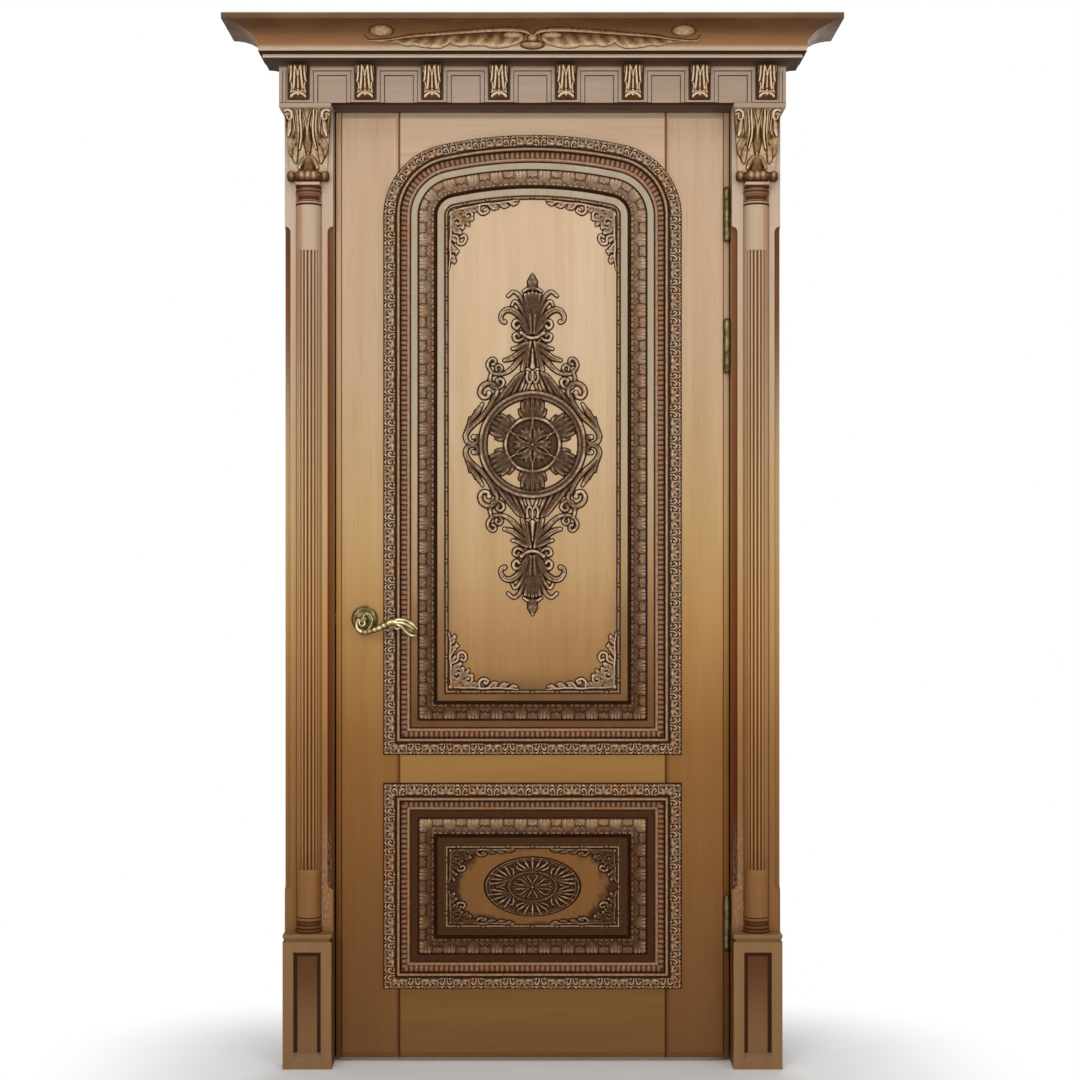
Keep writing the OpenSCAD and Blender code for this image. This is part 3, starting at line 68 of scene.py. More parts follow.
# Width and rise of a console's foot, as shares of its top's
CONSOLE_TAPER, CONSOLE_FOOT = 0.8, 0.36
ABACUS_H = 10.0
ROLL_Z, ROLL_R = 1853.5, 13.0
FRIEZE_X, FRIEZE_RISE, BED_Z = 523.5, 70.0, 2075.0
FRIEZE_Y = FACE_Y - FRIEZE_RISE
BRACKET_COUNT, BRACKET_W, BRACKET_H, BRACKET_MARGIN = 8, 41.0, 69.0, 20.0
BRACKET_PITCH = 2 * (FRIEZE_X - BRACKET_MARGIN - BRACKET_W / 2) / (BRACKET_COUNT - 1)
CROWN_Z, CROWN_H, CROWN_FOOT, CROWN_RISE = 2096.0, 62.0, 38.0, 104.0
# Where the crown's hollow begins and how high it is, as shares of the crown's height
HOLLOW_FROM, HOLLOW_SHARE = 0.16, 0.64
HANDLE_X, HANDLE_Z, LEVER_REACH = -352.0, 931.0, 52.0
LEAF_T = 45.0
# One step of the carver's drawing, on the panels and on the lever
UNIT, LEVER_UNIT = 2.09, 2.08


# Height fields


def mix(a, b, f):
    """Value between a and b at share f."""
    return a + (b - a) * f


def spline(points, count):
    """Smooth line through the points: a Catmull-Rom cubic between each pair."""
    p = np.asarray(points, float)
    p = np.vstack([2 * p[0] - p[1], p, 2 * p[-1] - p[-2]])
    t = np.linspace(0, len(p) - 3 - 1e-9, count)
    i = t.astype(int)
    f = (t - i)[:, None]
    a, b, c, d = p[i], p[i + 1], p[i + 2], p[i + 3]
    return 0.5 * (2 * b + (c - a) * f + (2 * a - 5 * b + 4 * c - d) * f**2
                  + (3 * b - a - 3 * c + d) * f**3)


class Relief:
    """A height field on a grid of x across and z along. Each stroke is a line of
    balls: the height at a point is the line's rise times sqrt(1 - u^2), where u is
    the distance to the line over its half width, and the highest stroke wins."""

    # Points along a stroke for each half width, room round it, a vein's share of its width
    EVERY, ROOM, VEIN = 1.6, 4, 0.22

    def __init__(self, xs, zs, repeat=0.0):
        self.xs, self.zs, self.repeat = np.asarray(xs), np.asarray(zs), repeat
        self.height = np.zeros((len(self.xs), len(self.zs)))
        self.reach = np.full(self.height.shape, -1e3)

    def stroke(self, points, half, rise, vein=0.0):
        """A stem or leaf lobe along a smooth line; vein cuts a groove down its middle."""
        points = np.atleast_2d(np.asarray(points, float))
        if len(points) == 1:
            points = np.vstack([points, points + 1e-3])
        n = max(8, int(np.hypot(*np.diff(points, axis=0).T).sum() / np.min(half) * self.EVERY))
        line = spline(points, n)
        t = np.linspace(0, 1, n)
        w = np.interp(t, np.linspace(0, 1, np.size(half)), np.atleast_1d(half))
        h = np.interp(t, np.linspace(0, 1, np.size(rise)), np.atleast_1d(rise))
        for shift in ((0,) if not self.repeat else (-self.repeat, 0, self.repeat)):
            self._sweep(line + [shift, 0], w, h, vein)

    def _sweep(self, line, w, h, vein):
        room = w.max() + self.ROOM
        lo, hi = line.min(0) - room, line.max(0) + room
        i0, i1 = np.searchsorted(self.xs, (lo[0], hi[0]))
        j0, j1 = np.searchsorted(self.zs, (lo[1], hi[1]))
        if i1 <= i0 or j1 <= j0:
            return
        dx = self.xs[i0:i1, None, None] - line[:, 0]
        dz = self.zs[None, j0:j1, None] - line[:, 1]
        d = np.hypot(dx, dz)
        k = (d / w).argmin(axis=2)
        u = np.take_along_axis(d / w, k[..., None], 2)[..., 0]
        top = h[k] * np.clip(1 - u**2, 0, 1) ** 0.5 * (1 - vein * np.exp(-((u / self.VEIN) ** 2)))
        cut = self.height[i0:i1, j0:j1]
        np.maximum(cut, top, out=cut)
        near = self.reach[i0:i1, j0:j1]
        np.maximum(near, (1 - u) * w[k], out=near)

    def scroll(self, centre, radius, turn, start, half, rise, sweep=1.4):
        """A volute: a line whose radius shrinks as it turns, with a ball for its eye."""
        f = np.linspace(0, 1, 14)
        a = start + turn * 2 * np.pi * sweep * f
        r = radius * (1 - 0.78 * f)
        line = np.stack([centre[0] + r * np.cos(a), centre[1] + r * np.sin(a)], 1)
        self.stroke(line, [half, half * 0.8], rise)
        self.stroke([line[-1]], half * 1.15, rise * 1.1)

    def mirrored(self, axis):
        """Takes the higher of each point and its mirror image across the grid's middle."""
        self.height = np.maximum(self.height, np.flip(self.height, axis))
        self.reach = np.maximum(self.reach, np.flip(self.reach, axis))


def blur(field, radius, wrap=False):
    """Mean of a field over a square of cells, taken twice; the first axis may be a loop."""
    for _ in range(2):
        for axis in (0, 1):
            pad = [(0, 0), (0, 0)]
            pad[axis] = (radius + 1, radius)
            mode = "wrap" if wrap and axis == 0 else "edge"
            total = np.cumsum(np.pad(field, pad, mode=mode), axis=axis)
            n = field.shape[axis]
            first = np.take(total, np.arange(n), axis)
            field = (np.take(total, np.arange(n) + 2 * radius + 1, axis) - first) / (2 * radius + 1)
    return field


def tone_of(height, radius, depth, wrap=False):
    """Tone of a carving, partly patina and partly painted shade and highlight: one half on a
    level surface, towards 0 in hollows and 1 on crests.
    """
    over = height - blur(height, radius, wrap)
    return np.clip(0.5 + 0.5 * over / depth, 0, 1)


# Meshes


def put_mesh(name, points, quads, tone, body, finish, nodes):
    """A mesh object of quads in millimetres, with its tone (patina with painted shade and
    highlights), riding on a body in the place of nodes."""
    used, quads = np.unique(quads.ravel(), return_inverse=True)
    quads = quads.reshape(-1, 4)
    points = points.reshape(-1, 3)[used] * MM
    mesh = bpy.data.meshes.new(name)
    mesh.vertices.add(len(points))
    mesh.vertices.foreach_set("co", points.ravel())
    mesh.loops.add(quads.size)
    mesh.loops.foreach_set("vertex_index", quads.ravel().astype(np.int32))
    mesh.polygons.add(len(quads))
    mesh.polygons.foreach_set("loop_start", np.arange(0, quads.size, 4, dtype=np.int32))
    mesh.polygons.foreach_set("use_smooth", np.ones(len(quads), bool))
    mesh.update(calc_edges=True)
    mesh.validate()
    layer = mesh.attributes.new("tone", "FLOAT", "POINT")
    layer.data.foreach_set("value", tone.ravel()[used].astype(np.float32))
    mesh.materials.append(FINISHES[finish])
    piece = bpy.data.objects.new(name, mesh)
    bpy.context.collection.objects.link(piece)
    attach(piece, body)
    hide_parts(*nodes)


def grid_quads(rows, columns, flip=False):
    """Quads of a grid of rows by columns."""
    a = np.arange(rows - 1)[:, None] * columns + np.arange(columns - 1)[None, :]
    b, c, d = a + 1, a + columns + 1, a + columns
    return np.stack([a, d, c, b] if flip else [a, b, c, d], -1).reshape(-1, 4)


def whole_cells(keep):
    """Which cells of a grid have all four corners kept."""
    return (keep[:-1, :-1] & keep[1:, :-1] & keep[1:, 1:] & keep[:-1, 1:]).ravel()


def joined(parts):
    """Several surfaces, each points, quads and tone, as one."""
    points, quads, tones, start = [], [], [], 0
    for p, q, t in parts:
        p = p.reshape(-1, 3)
        points.append(p)
        quads.append(q + start)
        tones.append(np.broadcast_to(t, p.shape[:1] if np.ndim(t) == 0 else np.shape(t)).ravel())
        start += len(p)
    return np.vstack(points), np.vstack(quads), np.concatenate(tones)


def flipped(part):
    """The same surface mirrored across the middle of the door, its faces turned back."""
    p, q, t = part
    return p * [-1, 1, 1], q[:, ::-1], t


# A relief's ground over its face, how far its rim dips, and its outline's painted shade
GROUND, DIP, OUTLINE_SHADE = 0.25, 1.4, 0.06


def relief_surface(relief, radius, depth, skirt=1.7, lift=0.0):
    """A carved relief on a panel's field: the strokes stand on the field, a thin dark skirt of
    painted shade outlines them, and the rim dips smoothly under it; its tone is darker in
    hollows and paler on crests, patina with painted shade and highlights."""
    dip = np.clip((-relief.reach - skirt) / 1.2, 0, 1)
    height = np.maximum(relief.height, GROUND) - (GROUND + DIP) * dip
    tone = np.clip(tone_of(relief.height, radius, depth) + lift, 0, 1)
    tone = np.where(relief.reach < 0.3, OUTLINE_SHADE, tone)
    x, z = np.meshgrid(relief.xs, relief.zs, indexing="ij")
    points = np.stack([x, FACE_Y - FIELD - height, z], -1)
    cells = whole_cells(relief.reach > -skirt - 1.8)
    quads = grid_quads(len(relief.xs), len(relief.zs), flip=True)[cells]
    return points.reshape(-1, 3), quads, tone.ravel()


# Outlines of the two openings, as chains of sides; o moves inwards


def line_side(start, run, inwards, length, first, last):
    """A straight side: place s along run and inset o. first and last are 1 at a mitred
    end and 0 at a square end, so s runs from first * o to length - last * o."""
    return ("line", np.array(start), np.array(run), np.array(inwards), length, first, last)


def arc_side(centre, radius, turn_from, turn_to):
    """A round side: the circle's radius less o, between two angles."""
    return ("arc", np.array(centre), radius, turn_from, turn_to)


UP = np.pi / 2
RIGHT_RUN = SHOULDER_Z - UPPER_Z0
UPPER = [
    [line_side((-PANEL_HALF, UPPER_Z0), (1, 0), (0, 1), 2 * PANEL_HALF, 1, 1)],
    [line_side((PANEL_HALF, UPPER_Z0), (0, 1), (-1, 0), RIGHT_RUN, 1, 0),
     arc_side((SHOULDER_X, SHOULDER_Z), SHOULDER_R, 0, UP - ARCH_A),
     arc_side((0, ARCH_C), ARCH_R, UP - ARCH_A, UP + ARCH_A),
     arc_side((-SHOULDER_X, SHOULDER_Z), SHOULDER_R, UP + ARCH_A, np.pi),
     line_side((-PANEL_HALF, SHOULDER_Z), (0, -1), (1, 0), RIGHT_RUN, 0, 1)]]
LOWER_H = LOWER_Z1 - LOWER_Z0
LOWER = [
    [line_side((-PANEL_HALF, LOWER_Z0), (1, 0), (0, 1), 2 * PANEL_HALF, 1, 1)],
    [line_side((PANEL_HALF, LOWER_Z0), (0, 1), (-1, 0), LOWER_H, 1, 1)],
    [line_side((PANEL_HALF, LOWER_Z1), (-1, 0), (0, -1), 2 * PANEL_HALF, 1, 1)],
    [line_side((-PANEL_HALF, LOWER_Z1), (0, -1), (1, 0), LOWER_H, 1, 1)]]


def lay_side(side, pitch, cells, inset, at):
    """Grid of places on one side, square to it and cut at its mitres, with whole motifs at
    the inset named at. Gives x, z and the place in the motif in cells."""
    if side[0] == "line":
        _, start, run, inwards, length, first, last = side
        whole = length - (first + last) * at
        count = max(1, round(whole / pitch))
        step = whole / count / cells
        i0 = int(np.floor(first * (inset.min() - at) / step))
        i1 = count * cells + int(np.ceil(last * (at - inset.min()) / step))
        place = first * at + step * np.arange(i0, i1 + 1)[:, None]
        place = np.clip(place, first * inset[None, :], length - last * inset[None, :])
        x = start[0] + run[0] * place + inwards[0] * inset[None, :]
        z = start[1] + run[1] * place + inwards[1] * inset[None, :]
        return x, z, (place - first * at) / step
    _, centre, radius, a0, a1 = side
    count = cells * max(1, round((radius - at) * abs(a1 - a0) / pitch))
    i = np.arange(count + 1)[:, None]
    a = mix(a0, a1, i / count)
    r = radius - inset[None, :]
    return centre[0] + r * np.cos(a), centre[1] + r * np.sin(a), i + 0 * r


def sample(tile, place):
    """A motif's values at places along it: straight between its cells, without an end."""
    k = np.floor(place).astype(int)
    j = np.arange(tile.shape[1])[None, :]
    return mix(tile[k % len(tile), j], tile[(k + 1) % len(tile), j], place - k)


def ring_piece(name, ring, pitch, at, motif, finish, node, power=None):
    """A moulding round an opening: a motif's heights and tones carried along the outline; power
    gives, by the height above the floor, the power that the tone is raised to."""
    inset, heights, tones = motif
    parts = []
    for chain in ring:
        laid = [lay_side(side, pitch, len(heights), inset, at) for side in chain]
        rows = [[g if k == 0 else g[1:] for g in grid] for k, grid in enumerate(laid)]
        x, z, place = (np.vstack(g) for g in zip(*rows))
        points = np.stack([x, FACE_Y - sample(heights, place), z], -1).reshape(-1, 3)
        quads = grid_quads(*x.shape, flip=True)
        a, b, c, d = (points[quads[:, k]] for k in range(4))
        area = np.linalg.norm(np.cross(c - a, d - b), axis=1)
        tone = sample(tones, place)
        if power:
            tone = np.clip(tone, 0, 1) ** np.interp(z, *power)
        parts.append((points, quads[area > 1e-3], np.clip(tone, 0, 1).ravel()))
    put_mesh(name, *joined(parts), "leaf", finish, (node,))


# Finishes


class Nodes:
    """A node tree. Each call adds a node and gives back its output socket."""

    def __init__(self, tree):
        self.tree = tree
        tree.nodes.clear()

    def add(self, kind, inputs=None, out=0, **settings):
        node = self.tree.nodes.new("ShaderNode" + kind)
        for key, value in settings.items():
            setattr(node, key, value)
        for key, value in (inputs or {}).items():
            if isinstance(value, bpy.types.NodeSocket):
                self.tree.links.new(value, node.inputs[key])
            else:
                node.inputs[key].default_value = value
        return node.outputs[out]

    def end(self, shader, kind):
        """Joins a shader to the tree's output."""
        out = self.tree.nodes.new("ShaderNodeOutput" + kind)
        self.tree.links.new(shader, out.inputs[0])

    def math(self, operation, a, b=0.0, clamp=False):
        return self.add("Math", {0: a, 1: b}, operation=operation, use_clamp=clamp)

    def times(self, a, b):
        return self.math("MULTIPLY", a, b)

    def plus(self, a, b, clamp=False):
        return self.math("ADD", a, b, clamp)

    def less(self, a, b):
        return self.math("SUBTRACT", a, b)

    def over(self, a, b):
        return self.math("DIVIDE", a, b)

    def most(self, a, b, clamp=False):
        return self.math("MAXIMUM", a, b, clamp)

    def absolute(self, a):
        return self.math("ABSOLUTE", a)

    def hypot(self, a, b):
        return self.math("SQRT", self.plus(self.times(a, a), self.times(b, b)))

    def seen(self):
        """One for rays from the camera and rays that gloss or glass sends on."""
        path = self.add("LightPath").node.outputs
        return self.most(path["Is Camera Ray"],
                         self.most(path["Is Glossy Ray"], path["Is Transmission Ray"]))


class Finish(Nodes):
    """One procedural material, on Object coordinates."""

    def __init__(self, name):
        self.material = bpy.data.materials.new(name)
        self.material.use_nodes = True
        super().__init__(self.material.node_tree)
        self.place = self.add("TexCoord", out=3)
        split = self.add("SeparateXYZ", {0: self.place}).node
        self.x, self.y, self.z = split.outputs

    def span(self, value, lo, hi, a=0.0, b=1.0):
        """Goes smoothly from a at lo to b at hi."""
        return self.add("MapRange", {0: value, 1: lo, 2: hi, 3: a, 4: b},
                        interpolation_type="SMOOTHSTEP")

    def blend(self, share, a, b, how="MIX"):
        a = a if isinstance(a, bpy.types.NodeSocket) else (*a, 1.0)
        b = b if isinstance(b, bpy.types.NodeSocket) else (*b, 1.0)
        return self.add("Mix", {0: share, 6: a, 7: b}, out=2, data_type="RGBA", blend_type=how)

    def ramp(self, value, stops):
        socket = self.add("ValToRGB", {0: value})
        bar = socket.node.color_ramp
        while len(bar.elements) < len(stops):
            bar.elements.new(0.5)
        for element, (at, colour) in zip(bar.elements, stops):
            element.position = at
            element.color = (*colour, 1.0)
        return socket

    def noise(self, scale, detail=4.0, rough=0.55, move=(0, 0, 0)):
        """Noise on Object coordinates, stretched by a scale for each axis."""
        at = self.add("Mapping", {"Vector": self.place, "Scale": scale, "Location": move})
        return self.add("TexNoise", {"Vector": at, "Scale": 1.0, "Detail": detail,
                                     "Roughness": rough})

    def attribute(self, name):
        return self.add("Attribute", out=2, attribute_name=name)

    def surface(self, colour, roughness, height=None, strength=0.3, metal=0.0, distance=0.001,
                gloss=0.2):
        inputs = {"Base Color": colour, "Roughness": roughness, "Metallic": metal,
                  "Specular IOR Level": 0.5 if metal else gloss}
        if height is not None:
            inputs["Normal"] = self.add("Bump", {"Strength": strength, "Distance": distance,
                                                 "Height": height})
        shader = self.add("BsdfPrincipled", inputs)
        self.end(shader, "Material")
        return self.material


# Colour by height above the floor, darker towards the foot: share of STAIN_TOP in metres, colour
STAIN_TOP = 2.2
STAIN = [(0.0, (0.165, 0.072, 0.024)), (0.18, (0.205, 0.088, 0.023)), (0.31, (0.275, 0.124, 0.031)),
         (0.42, (0.43, 0.235, 0.080)), (0.52, (0.50, 0.318, 0.142)), (0.68, (0.53, 0.368, 0.232)),
         (0.91, (0.555, 0.392, 0.268))]
FIELD_STAIN = [(0.0, (0.17, 0.072, 0.021)), (0.2, (0.205, 0.089, 0.024)),
               (0.34, (0.285, 0.138, 0.044)), (0.40, (0.375, 0.203, 0.076)),
               (0.47, (0.50, 0.318, 0.150)), (0.6, (0.58, 0.415, 0.250)),
               (0.75, (0.62, 0.448, 0.292)), (0.9, (0.62, 0.450, 0.300))]
POST_STAIN = [(0.0, (0.205, 0.096, 0.034)), (0.18, (0.245, 0.112, 0.036)),
              (0.31, (0.32, 0.154, 0.048)), (0.42, (0.46, 0.262, 0.098)),
              (0.52, (0.52, 0.342, 0.160)), (0.68, (0.53, 0.382, 0.250)),
              (0.80, (0.535, 0.405, 0.298)), (0.91, (0.525, 0.412, 0.318))]
SHAFT_STAIN = [(0.0, (0.205, 0.096, 0.034)), (0.18, (0.245, 0.112, 0.036)),
               (0.21, (0.33, 0.165, 0.060)), (0.31, (0.39, 0.208, 0.080)),
               (0.42, (0.54, 0.318, 0.135)), (0.52, (0.56, 0.375, 0.185))] + POST_STAIN[5:]
PLINTH_STAIN = [(0.0, (0.232, 0.128, 0.054)), (0.13, (0.244, 0.136, 0.058))]
RAIL_STAIN = [(0.0, (0.185, 0.086, 0.026)), (0.1, (0.195, 0.092, 0.026)),
              (0.25, (0.305, 0.158, 0.044)), (0.31, (0.34, 0.178, 0.048)),
              (0.42, (0.43, 0.235, 0.080)), (0.68, (0.53, 0.368, 0.232)),
              (0.91, (0.585, 0.415, 0.285))]
DARK = (0.040, 0.014, 0.006)


def grain(f, along, seed):
    """Wood figure and pores: noise stretched along the board."""
    broad = (26, 26, 1.3) if along == "z" else (2.4, 26, 30)
    fine = (330, 330, 9) if along == "z" else (9, 330, 330)
    streak = (110, 110, 2.2) if along == "z" else (2.2, 110, 110)
    figure = f.noise(broad, detail=5, rough=0.6, move=(seed, seed * 0.7, seed * 0.3))
    lines = f.noise(streak, detail=3, rough=0.6, move=(seed * 0.4, seed, seed * 0.2))
    pores = f.noise(fine, detail=2, move=(seed * 0.2, seed * 0.5, seed))
    return figure, lines, pores


def oak(name, along, stain, seed, shade=None, wear_and_highlight=None, tint=None, red=False):
    """Stained oak: colour by height, figure, pores, and tint, shade and pale marks where the piece
    has them; the tint is painted shade on the shafts, the pale marks are wear on the pilasters
    and painted highlights on the plinths and crown; a red shade goes through red-brown on its
    way to dark."""
    f = Finish(name)
    colour = f.ramp(f.over(f.z, STAIN_TOP), stain)
    # Tint: a grey on the upper panel's flats, painted shade on the outer side of each shaft
    if tint:
        share, grey = tint(f)
        colour = f.blend(share, colour, grey)
    figure, lines, pores = grain(f, along, seed)
    colour = f.blend(f.span(figure, 0.36, 0.72, 0.0, 0.42), colour,
                     f.blend(1.0, colour, (0.80, 0.72, 0.60), "MULTIPLY"))
    colour = f.blend(f.span(figure, 0.46, 0.26, 0.0, 0.5), colour,
                     f.blend(1.0, colour, (1.10, 1.11, 1.10), "MULTIPLY"))
    colour = f.blend(f.span(lines, 0.54, 0.74, 0.0, 0.24), colour,
                     f.blend(1.0, colour, (0.78, 0.70, 0.60), "MULTIPLY"))
    colour = f.blend(f.span(pores, 0.58, 0.72, 0.0, 0.22), colour,
                     f.blend(1.0, colour, (0.62, 0.52, 0.42), "MULTIPLY"))
    deep = shade(f) if shade else None
    if shade and red:
        colour = f.blend(f.span(deep, 0.0, 0.8), colour,
                         f.blend(1.0, colour, (0.36, 0.19, 0.11), "MULTIPLY"))
        colour = f.blend(f.span(deep, 0.78, 1.0), colour, DARK)
    elif shade:
        colour = f.blend(deep, colour, DARK)
    # Pale marks: flaked wear on the pilasters, painted highlights on the plinths and crown
    if wear_and_highlight:
        colour = f.blend(wear_and_highlight(f), colour, f.blend(0.62, colour, (0.70, 0.58, 0.42)))
    rough = f.span(pores, 0.4, 0.7, 0.42, 0.6)
    if shade:
        rough = f.most(rough, f.times(deep, 0.96))
    return f.surface(colour, rough, pores, 0.12, distance=0.0004, gloss=0.12)


def carved(name, stops, seed, warm=0.0):
    """Carved oak: the tone attribute picks dark patina with painted shade, brown wood, or a pale
    crest that is partly rubbed and partly a painted highlight; darker towards the foot.
    """
    f = Finish(name)
    tone = f.attribute("tone")
    speck = f.noise((160, 160, 160), detail=4, move=(seed, 0, seed))
    tone = f.plus(tone, f.span(speck, 0.3, 0.7, -0.08, 0.08), clamp=True)
    high = f.ramp(tone, stops)
    low = f.blend(1.0, high, (0.84, 0.75, 0.66), "MULTIPLY")
    colour = f.blend(f.span(f.z, 0.35, 1.25), low, high)
    cloud = f.noise((22, 22, 22), detail=3, move=(0, seed, 0))
    red = f.blend(1.0, colour, (1.10, 0.84, 0.66), "MULTIPLY")
    colour = f.blend(f.span(cloud, 0.45, 0.68, 0.0, 0.6), colour, red)
    if warm:
        gold = f.blend(1.0, colour, (1.22, 1.0, 0.62), "MULTIPLY")
        colour = f.blend(f.span(cloud, 0.52, 0.34, 0.0, warm), colour, gold)
    return f.surface(colour, f.span(tone, 0.2, 0.9, 0.62, 0.42), speck, 0.12, distance=0.0005,
                     gloss=0.05)


CARVED_STOPS = [(0.0, (0.030, 0.011, 0.005)), (0.3, (0.078, 0.038, 0.019)),
                (0.5, (0.142, 0.083, 0.047)), (0.7, (0.275, 0.185, 0.117)),
                (0.88, (0.46, 0.340, 0.228)), (1.0, (0.64, 0.50, 0.36))]
BRONZED_STOPS = [(0.0, (0.024, 0.010, 0.005)), (0.3, (0.040, 0.020, 0.010)),
                 (0.5, (0.076, 0.043, 0.024)), (0.7, (0.150, 0.094, 0.055)),
                 (0.86, (0.33, 0.230, 0.148)), (1.0, (0.66, 0.51, 0.36))]
REDDISH_STOPS = [(0.0, (0.030, 0.011, 0.006)), (0.3, (0.125, 0.058, 0.031)),
                 (0.55, (0.265, 0.146, 0.085)), (0.75, (0.38, 0.262, 0.176)),
                 (1.0, (0.60, 0.47, 0.34))]
GILT_STOPS = [(0.0, (0.034, 0.012, 0.005)), (0.25, (0.105, 0.046, 0.019)),
              (0.45, (0.21, 0.122, 0.058)), (0.65, (0.36, 0.250, 0.150)),
              (0.84, (0.56, 0.44, 0.305)), (1.0, (0.74, 0.64, 0.48))]


def near(f, value, at, half, soft):
    """One within half of a place, falling to 0 over soft."""
    away = f.absolute(f.less(value, at))
    return f.span(away, half, half + soft, 1.0, 0.0)


def front_side(f, last):
    """One on the faces ahead of a depth in millimetres, and none behind it."""
    return f.span(f.y, last * MM, (last + 1) * MM, 1.0, 0.0)


def arch_shade(f):
    """Upper panel: a soft dark border inside the reed, stronger low down, and sunk flats that
    darken towards the foot."""
    side = f.span(f.absolute(f.x), 0.140, 0.192)
    low = f.span(f.z, 0.770, 0.838, 1.0, 0.0)
    rise = f.less(f.z, ARCH_C * MM)
    high = f.span(f.hypot(f.x, rise), 0.725, 0.772)
    edge = f.most(side, f.most(low, f.times(high, f.span(f.z, 1.6, 1.7))))
    cloud = f.noise((9, 9, 9), detail=2)
    edge = f.times(edge, f.span(cloud, 0.2, 0.8, 0.6, 1.0))
    border = f.times(edge, f.span(f.z, 0.70, 1.25, 0.64, 0.12))
    sunk = f.times(f.span(f.y, 0.0175, 0.0205), f.span(f.z, 0.68, 1.20, 0.56, 0.05))
    return f.times(f.most(border, sunk), front_side(f, FACE_Y + 3))


def flat_tint(f):
    """Flats and margins outside the reed turn greyer towards the arch."""
    side = f.span(f.absolute(f.x), 0.183, 0.186)
    rise = f.less(f.z, ARCH_C * MM)
    far = f.span(f.hypot(f.x, rise), 0.768, 0.771)
    high = f.times(far, f.span(f.z, 1.60, 1.62))
    outside = f.times(f.most(side, high), front_side(f, FACE_Y + 3))
    return f.times(outside, f.span(f.z, 0.95, 1.55, 0.0, 0.85)), (0.44, 0.375, 0.272)


def lens_shade(f):
    """Lower panel: dark patina outside a lens of clear wood, a pointed oval."""
    a = f.math("POWER", f.absolute(f.over(f.x, 0.157)), 2.5)
    b = f.math("POWER", f.absolute(f.over(f.less(f.z, 0.371), 0.084)), 2.5)
    cloud = f.noise((30, 30, 30), detail=3)
    ring = f.plus(f.plus(a, b), f.span(cloud, 0.25, 0.75, -0.22, 0.22))
    dark = f.most(f.span(ring, 0.72, 1.10, 0.0, 0.90), f.span(f.y, 0.0175, 0.0205, 0.0, 0.66))
    return f.times(dark, front_side(f, FACE_Y + 3))


def rail_shade(f):
    """A dark joint line where each rail meets the stiles."""
    joint = near(f, f.absolute(f.x), 0.2805, 0.0026, 0.0010)
    return f.times(joint, 0.80)


def stile_shade(f):
    """A fine scratched line along the outer edge of each stile."""
    return f.times(near(f, f.absolute(f.x), 0.4010, 0.0006, 0.0012), 0.7)


def flute_shade(f):
    """Brown flutes by how far a point lies inside the column's round, dark lines between the rings
    of base and capital, and painted shade on the side of each shaft towards the leaf."""
    px = f.less(f.absolute(f.x), COLUMN_X * MM)
    py = f.less(f.y, (PILASTER_Y - 2) * MM)
    r = f.hypot(px, py)
    groove = f.span(r, 0.0226, 0.0237, 0.86, 0.0)
    band = f.times(f.span(f.z, 0.40, 0.413), f.span(f.z, 1.697, 1.71, 1.0, 0.0))
    inner = f.times(f.span(r, 0.0205, 0.0246, 0.92, 0.0), f.less(1.0, band))
    lines = near(f, f.z, 1.8312, 0.0026, 0.0008)
    for at, half in ((1.8215, 0.0014), (1.8010, 0.0007), (1.7950, 0.0014), (0.2815, 0.0012),
                     (0.2875, 0.0008), (0.2950, 0.0008), (0.3030, 0.0010), (0.3105, 0.0006)):
        lines = f.most(lines, near(f, f.z, at, half, 0.0012))
    dim = f.most(f.span(f.z, 0.288, 0.325, 0.45, 0.0), f.times(f.span(f.z, 1.802, 1.806), 0.6))
    dim = f.times(dim, f.span(f.z, 1.8325, 1.8335, 1.0, 0.0))
    side = f.span(px, -0.025, -0.008, 0.22, 0.0)
    dark = f.most(f.most(f.times(groove, band), inner), f.most(f.times(lines, 0.94), dim))
    return f.most(dark, side)


def shaft_side_shade(f):
    """Orange-brown painted shade on the outer side of each shaft, towards its top."""
    side = f.less(f.absolute(f.x), COLUMN_X * MM)
    share = f.times(f.span(side, 0.008, 0.015, 0.0, 0.62), f.span(f.z, 1.30, 1.66))
    return share, (0.40, 0.185, 0.072)


def hollow_shade(f):
    """Red-brown hollows on the side of each column next to the leaf, hollows on the other side
    that are dark only under their upper stop, and a narrow shadow line behind each column."""
    deep = f.span(f.y, (PILASTER_Y + 0.8) * MM, (PILASTER_Y + 4) * MM)
    side = f.less(f.absolute(f.x), COLUMN_X * MM)
    outer = f.times(f.span(side, 0.0, 0.001), f.span(f.z, 1.20, 1.72, 0.16, 0.86))
    inner = f.span(side, -0.001, 0.0, 0.80, 0.0)
    away = f.absolute(side)
    behind = f.span(away, 0.0255, 0.0285, 0.62, 0.0)
    dark = f.most(f.times(deep, f.most(outer, inner)), behind)
    return f.times(dark, front_side(f, PILASTER_Y + 12.2))


def plinth_bevel(f):
    """One on the bevels between a plinth's face and its sunk panel."""
    return f.times(f.span(f.y, (PLINTH_Y + 0.2) * MM, (PLINTH_Y + 1.4) * MM),
                   f.span(f.y, (PLINTH_Y + 6.2) * MM, (PLINTH_Y + 6.9) * MM, 1.0, 0.0))


def plinth_ledge_highlight(f):
    """Painted highlight: the lowest bevel, which faces up, is pale."""
    return f.times(plinth_bevel(f), f.span(f.z, 0.0330, 0.0350, 0.16, 0.0))


def plinth_shade(f):
    """Near black bevels round the sunk panel, which is darker towards its top."""
    bevel = plinth_bevel(f)
    panel = f.times(f.span(f.y, (PLINTH_Y + 6.2) * MM, (PLINTH_Y + 6.9) * MM),
                    f.span(f.z, 0.05, 0.24, 0.26, 0.62))
    side = f.span(f.y, (PLINTH_Y + 8) * MM, (PLINTH_Y + 12) * MM, 0.0, 0.5)
    return f.most(f.times(bevel, f.span(f.z, 0.0330, 0.0350, 0.45, 0.98)), f.most(panel, side))


